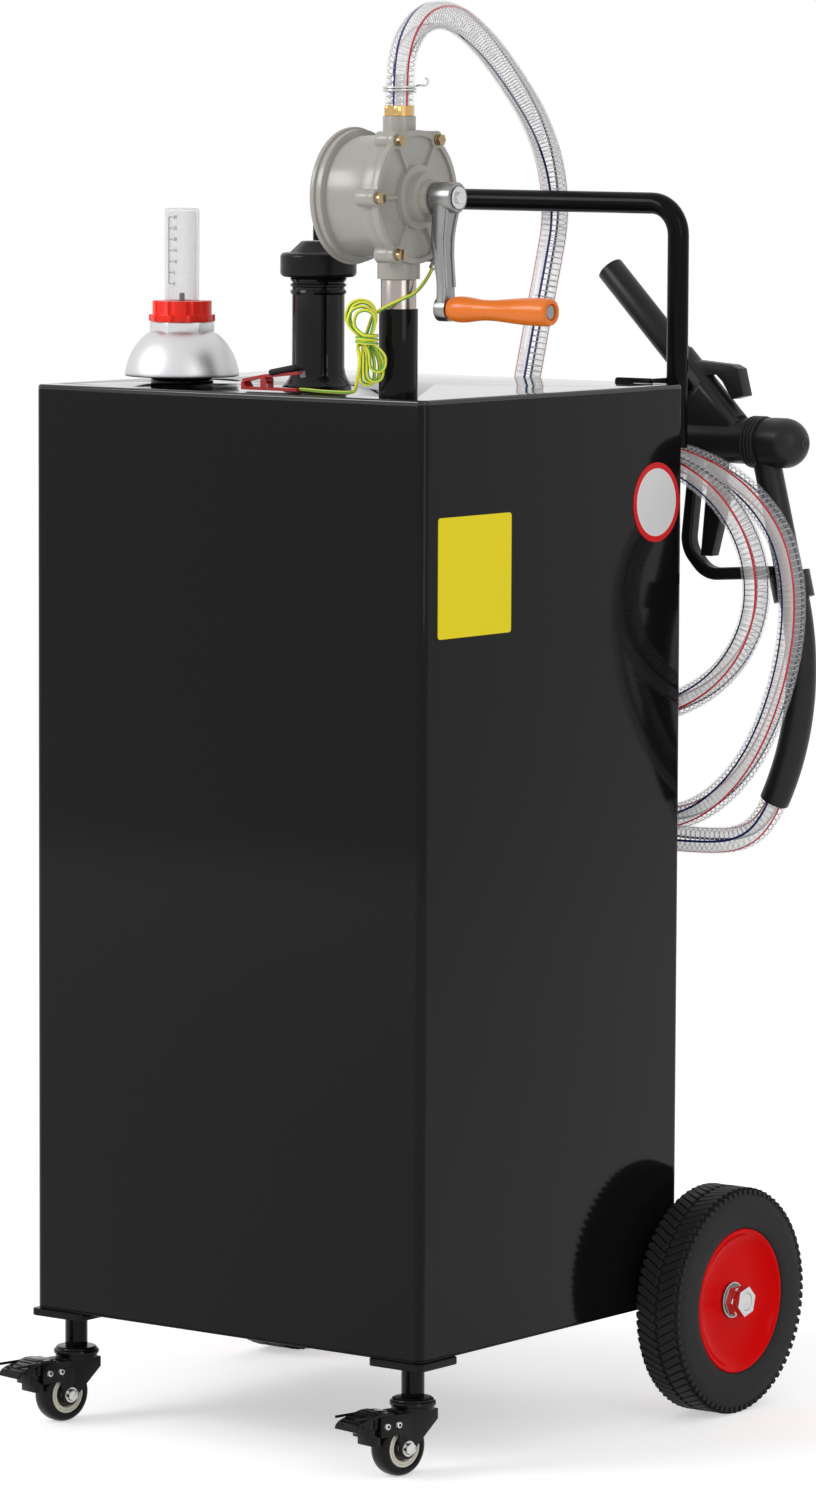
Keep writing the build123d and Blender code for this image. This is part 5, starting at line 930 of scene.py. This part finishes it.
def loftShape(sections, squareness=0.5):
    # Rounded oblong sections down the arm, bridged: each is a circle drawn out towards its corners
    shape = bmesh.new()
    for out, height, thick, wide in sections:
        made = bmesh.ops.create_circle(shape, cap_ends=False, segments=28, radius=1)["verts"]
        for vertex in made:
            x, y = vertex.co.x, vertex.co.y
            vertex.co.x = out + copysign(abs(x) ** squareness, x) * thick
            vertex.co.y = copysign(abs(y) ** squareness, y) * wide
            vertex.co.z = height
    bmesh.ops.bridge_loops(shape, edges=shape.edges[:], use_pairs=False)
    bmesh.ops.holes_fill(shape, edges=[edge for edge in shape.edges if edge.is_boundary], sides=0)
    bmesh.ops.recalc_face_normals(shape, faces=shape.faces)
    return shape


def makeCrankTrim(parts):
    y = parts["y"]
    web = placed(loftShape(parts["arm"]), moveTo(at(0, y, 0)))
    addPiece("crank_web", web, "crank metal", "crank")
    lines = []
    for way in (-1, 1):
        aside = way * parts["ridge aside"]
        lines.append([at(out + thick, y + aside * wide, up) for out, up, thick, wide in parts["arm"][1:8]])
    ridges = keepMesh(curveObject("crank ridge", lines, radius=parts["ridge"], rounding=4), "crank_ridges")
    keepPiece(ridges, "crank metal", "crank")
    hub = axisMatrix(at(parts["out"], y, parts["hub"]), (1, 0, 0))
    addPiece("crank_hub_rim", placed(turnedShape(parts["rim"]), hub), "crank metal", "crank")
    screw = joined(turnedShape(parts["screw"]), hexagonBar(*parts["screw head"]))
    addPiece("crank_screw", placed(screw, hub), "zinc", "crank")


# Neck: the two rolled beads under the cap
neck = {
    "place": (0.03, -0.1), "radius": 0.02275, "beads": (1.0022, 1.0132),
    "bead": [(-0.0004, -0.0022), (0.001, -0.0018), (0.0018, 0), (0.001, 0.0018), (-0.0004, 0.0022)],
}


def makeNeckTrim(parts):
    beads = joined(*[ringShape(parts["bead"], parts["radius"], height) for height in parts["beads"]])
    addPiece("neck_beads", placed(beads, upright(parts)), "neck black")


# Gauge: dome with a rolled lip, hexagon collar, clear tube with its scale
gauge = {
    "place": (-0.117, -0.105), "radius": 0.0153,
    "collar": (0.0284, 0.9638, 0.9728, 0.0007, radians(12)),  # radius, foot, top, rounding and turn
    # radius and height over the tank's top
    "top": 0.9, "dome": [
        (0.0475, 0.0262), (0.0487, 0.0252), (0.0497, 0.0256), (0.05, 0.0266), (0.0499, 0.0286),
        (0.049, 0.033), (0.0474, 0.0388), (0.0448, 0.045), (0.0412, 0.0512), (0.0366, 0.057),
        (0.0318, 0.0616), (0.0276, 0.0642), (0.0252, 0.065), (0, 0.0652),
    ],
    "tube": [
        (0.0153, 0.9732), (0.0153, 1.0691), (0.0149, 1.0707), (0.0139, 1.0715), (0.0127, 1.0715),
        (0.0119, 1.0703), (0, 1.0701), (0, 1.0685), (0.0117, 1.0685), (0.0129, 1.0671), (0.0129, 0.9732),
    ],
    "pointer": [
        (0, 0.525), (0.0015, 0.525), (0.0015, 0.984), (0.0024, 0.985), (0.0024, 0.9966), (0.0018, 0.9976),
        (0, 0.9978),
    ],
    # the scale's line from foot to top, how far aside it and the figures stand, and its ticks
    "line": (1.006, 1.064), "aside": (-0.0024, 0.0024), "ticks": 7, "tick": (0.0042, 0.0005),
    "thick": 0.0002, "lift": 0.00012, "line wide": 0.0006, "step": 5,
    "figure": (0.0042, 0.00005), "figure out": 0.00015,  # size and half its thickness
}


def makeGauge(parts):
    dome = turnedShape([(radius, height + parts["top"]) for radius, height in parts["dome"]], 96)
    standIn("gauge_hood", placed(dome, upright(parts)), "dome aluminium", "gauge_dome", 60)
    collar = placed(hexagonBar(*parts["collar"]), upright(parts))
    addPiece("gauge_collar", collar, "dome aluminium")
    tube = placed(turnedShape(parts["tube"], 72), upright(parts))
    standIn("clear_tube", tube, "clear tube", "gauge_tube", 50)
    rod = placed(turnedShape(parts["pointer"], 24), upright(parts))
    standIn("pointer_tip", rod, "seal rubber", "pointer_rod")
    addPiece("gauge_scale", placed(scaleMarks(parts), upright(parts)), "scale ink")


def figureShape(number, size, thick):
    # A plain number as a thin solid
    text = bpy.data.curves.new("figure", "FONT")
    text.body = str(number)
    text.size = size
    text.align_x = "LEFT"
    text.align_y = "CENTER"
    text.extrude = thick
    holder = newObject("figure", text)
    mesh = bpy.data.meshes.new_from_object(holder)
    bpy.data.objects.remove(holder)
    figure = bmesh.new()
    figure.from_mesh(mesh)
    bpy.data.meshes.remove(mesh)
    return figure


def scaleMarks(parts):
    # A line with ticks and plain figures on the tube's front
    low, high = parts["line"]
    left, right = parts["aside"]
    thick, front = parts["thick"], -parts["radius"] - parts["lift"]
    marks = [boxShape((parts["line wide"], thick, high - low), (left, front + thick, (low + high) / 2))]
    long, tall = parts["tick"]
    for number in range(parts["ticks"]):
        height = low + (high - low) * number / (parts["ticks"] - 1)
        marks.append(boxShape((long, thick, tall), (left + long / 2, front + thick / 2, height)))
        stand = moveTo((right, front + parts["figure out"], height))
        stand = stand @ Matrix.Rotation(radians(90), 4, "X")
        marks.append(placed(figureShape(parts["step"] * number, *parts["figure"]), stand))
    return joined(*marks)


# Plates on the right wall: a bare yellow one, and a round one with a red edge
plates = {
    "wall": 0.213,
    "label": (-0.119, 0.7672), "label size": (0.0006, 0.104, 0.1025), "corner": 0.003,
    "sign": (0.148, 0.816),
    # radius and out from the wall
    "white": [(0, 0.0005), (0.0302, 0.0005), (0.0302, 0.0)],
    "red": [(0.0298, 0.0), (0.0298, 0.00055), (0.0348, 0.0006), (0.035, 0.0004), (0.035, 0.0)],
}


def makePlates(parts):
    label = boxShape(parts["label size"])
    corners = [edge for edge in label.edges if abs(edge.verts[0].co.x - edge.verts[1].co.x) > 0.0001]
    roundEdges(label, corners, parts["corner"], 5)
    out = parts["wall"] + parts["label size"][0] / 2
    bmesh.ops.translate(label, vec=at(out, *parts["label"]), verts=label.verts)
    standIn("yellow_plate", label, "plate yellow", "wall_plates")
    here = axisMatrix(at(parts["wall"], *parts["sign"]), (1, 0, 0))
    white, red = turnedShape(parts["white"], 72), turnedShape(parts["red"], 72)
    addPiece("round_plate", placed(white, here), "plate white")
    addPiece("round_plate_edge", placed(red, here), "plate red")


# Nozzle: ribs before its round end, that end's barrel, and the disc in the middle of its face
nozzle = {
    "place": (0.1725, 0.268, 0.8646), "ribs": (0.0625, 0.0662, 0.0699, 0.0736), "radius": 0.0223,
    "rib": [(-0.001, -0.0015), (0.0007, -0.001), (0.001, 0), (0.0007, 0.001), (-0.001, 0.0015)],
    # radius and how far along the body
    "barrel": [
        (0.019, 0.0596), (0.0214, 0.0604), (0.022, 0.062), (0.022, 0.0738), (0.0208, 0.0748),
        (0.0208, 0.077), (0.0221, 0.0784), (0.0223, 0.085), (0.0223, 0.0949),
    ],
    "disc": [(0, 0.1166), (0.003, 0.1166), (0.0036, 0.1171), (0.0056, 0.1171), (0.006, 0.1142)],
}


def makeNozzleTrim(parts):
    here = axisMatrix(at(*parts["place"]), (1, 0, 0))
    rings = [ringShape(parts["rib"], parts["radius"], along) for along in parts["ribs"]]
    rings += [turnedShape(parts["barrel"], 72), turnedShape(parts["disc"], 40)]
    addPiece("nozzle_end_trim", placed(joined(*rings), here), "nozzle black")


# Clip: a soft black boot on its upper tail
clip = {"place": (0.0455, -0.165, 0.9377), "boot": (0.03, 0.0128, 0.0054), "rounding": 0.0022, "tilt": -11}


def makeClipBoot(parts):
    boot = boxShape(parts["boot"], (0, 0, 0), parts["rounding"], 3)
    placed(boot, moveTo(at(*parts["place"])) @ Matrix.Rotation(radians(parts["tilt"]), 4, "Y"))
    addPiece("clip_upper_boot", boot, "seal rubber", nodeBody["clip_upper_jaw"])


makeOutlet(outlet)
makeCrankTrim(crank)
makeNeckTrim(neck)
makeGauge(gauge)
makePlates(plates)
makeNozzleTrim(nozzle)
makeClipBoot(clip)
print("fittings made")

# Floor, light and world
studio = {
    "floor": 60, "floor color": 0.86, "floor rough": 0.7, "floor gloss": 0.1, "floor lift": 0.5,
    "world": 0.55,
    # each lamp: place, size and power
    "lamps": {
        "key": ((-2.4, -3.6, 3.2), (2.0, 2.0), 95),
        "fill": ((3.6, -1.4, 2.4), (1.6, 2.6), 25),
    },
    "aim": (0, 0, 0.6),
}


def seenRays(tree):
    # The camera's rays and the reflected ones, which get the plain white
    path = addNode(tree, "LightPath")
    seen = addNode(tree, "Math", operation="ADD", use_clamp=True)
    link(tree, (path, "Is Camera Ray", seen, 0), (path, "Is Glossy Ray", seen, 1))
    return path, seen


def makeStage(parts):
    shape = bmesh.new()
    bmesh.ops.create_grid(shape, x_segments=1, y_segments=1, size=parts["floor"] / 2)
    mesh = bpy.data.meshes.new("floor")
    shape.to_mesh(mesh)
    shape.free()
    material, tree, shader = newMaterial("pale floor")
    setInputs(shader, {
        "Base Color": (*grey(parts["floor color"]), 1), "Roughness": parts["floor rough"],
        "Specular IOR Level": parts["floor gloss"], "Emission Color": (1, 1, 1, 1),
    })
    seen = seenRays(tree)[1]
    lift = addNode(tree, "Math", {1: parts["floor lift"]}, operation="MULTIPLY")
    link(tree, (seen, 0, lift, 0), (lift, 0, shader, "Emission Strength"))
    mesh.materials.append(material)
    newObject("floor", mesh)


def makeWorld(parts):
    world = bpy.data.worlds.new("studio")
    scene.world = world
    world.use_nodes = True
    tree = world.node_tree
    tree.nodes.clear()
    path, seen = seenRays(tree)
    clear = addNode(tree, "Math", operation="ADD", use_clamp=True)
    light = addNode(tree, "Background", {"Color": (1, 1, 1, 1), "Strength": parts["world"]})
    white = addNode(tree, "Background", {"Color": (1, 1, 1, 1), "Strength": 1.0})
    mix = addNode(tree, "MixShader")
    out = addNode(tree, "OutputWorld")
    link(
        tree, (seen, 0, clear, 0), (path, "Is Transmission Ray", clear, 1), (clear, 0, mix, "Fac"),
        (light, 0, mix, 1), (white, 0, mix, 2), (mix, 0, out, "Surface"),
    )


def makeLamps(parts):
    for name, (place, size, power) in parts["lamps"].items():
        data = bpy.data.lights.new(name, "AREA")
        data.shape = "RECTANGLE"
        data.size, data.size_y = size
        data.energy = power
        lamp = newObject(name, data)
        lamp.location = place
        lamp.rotation_euler = (Vector(parts["aim"]) - Vector(place)).to_track_quat("-Z", "Y").to_euler()


makeStage(studio)
makeWorld(studio)
makeLamps(studio)
print("stage set")
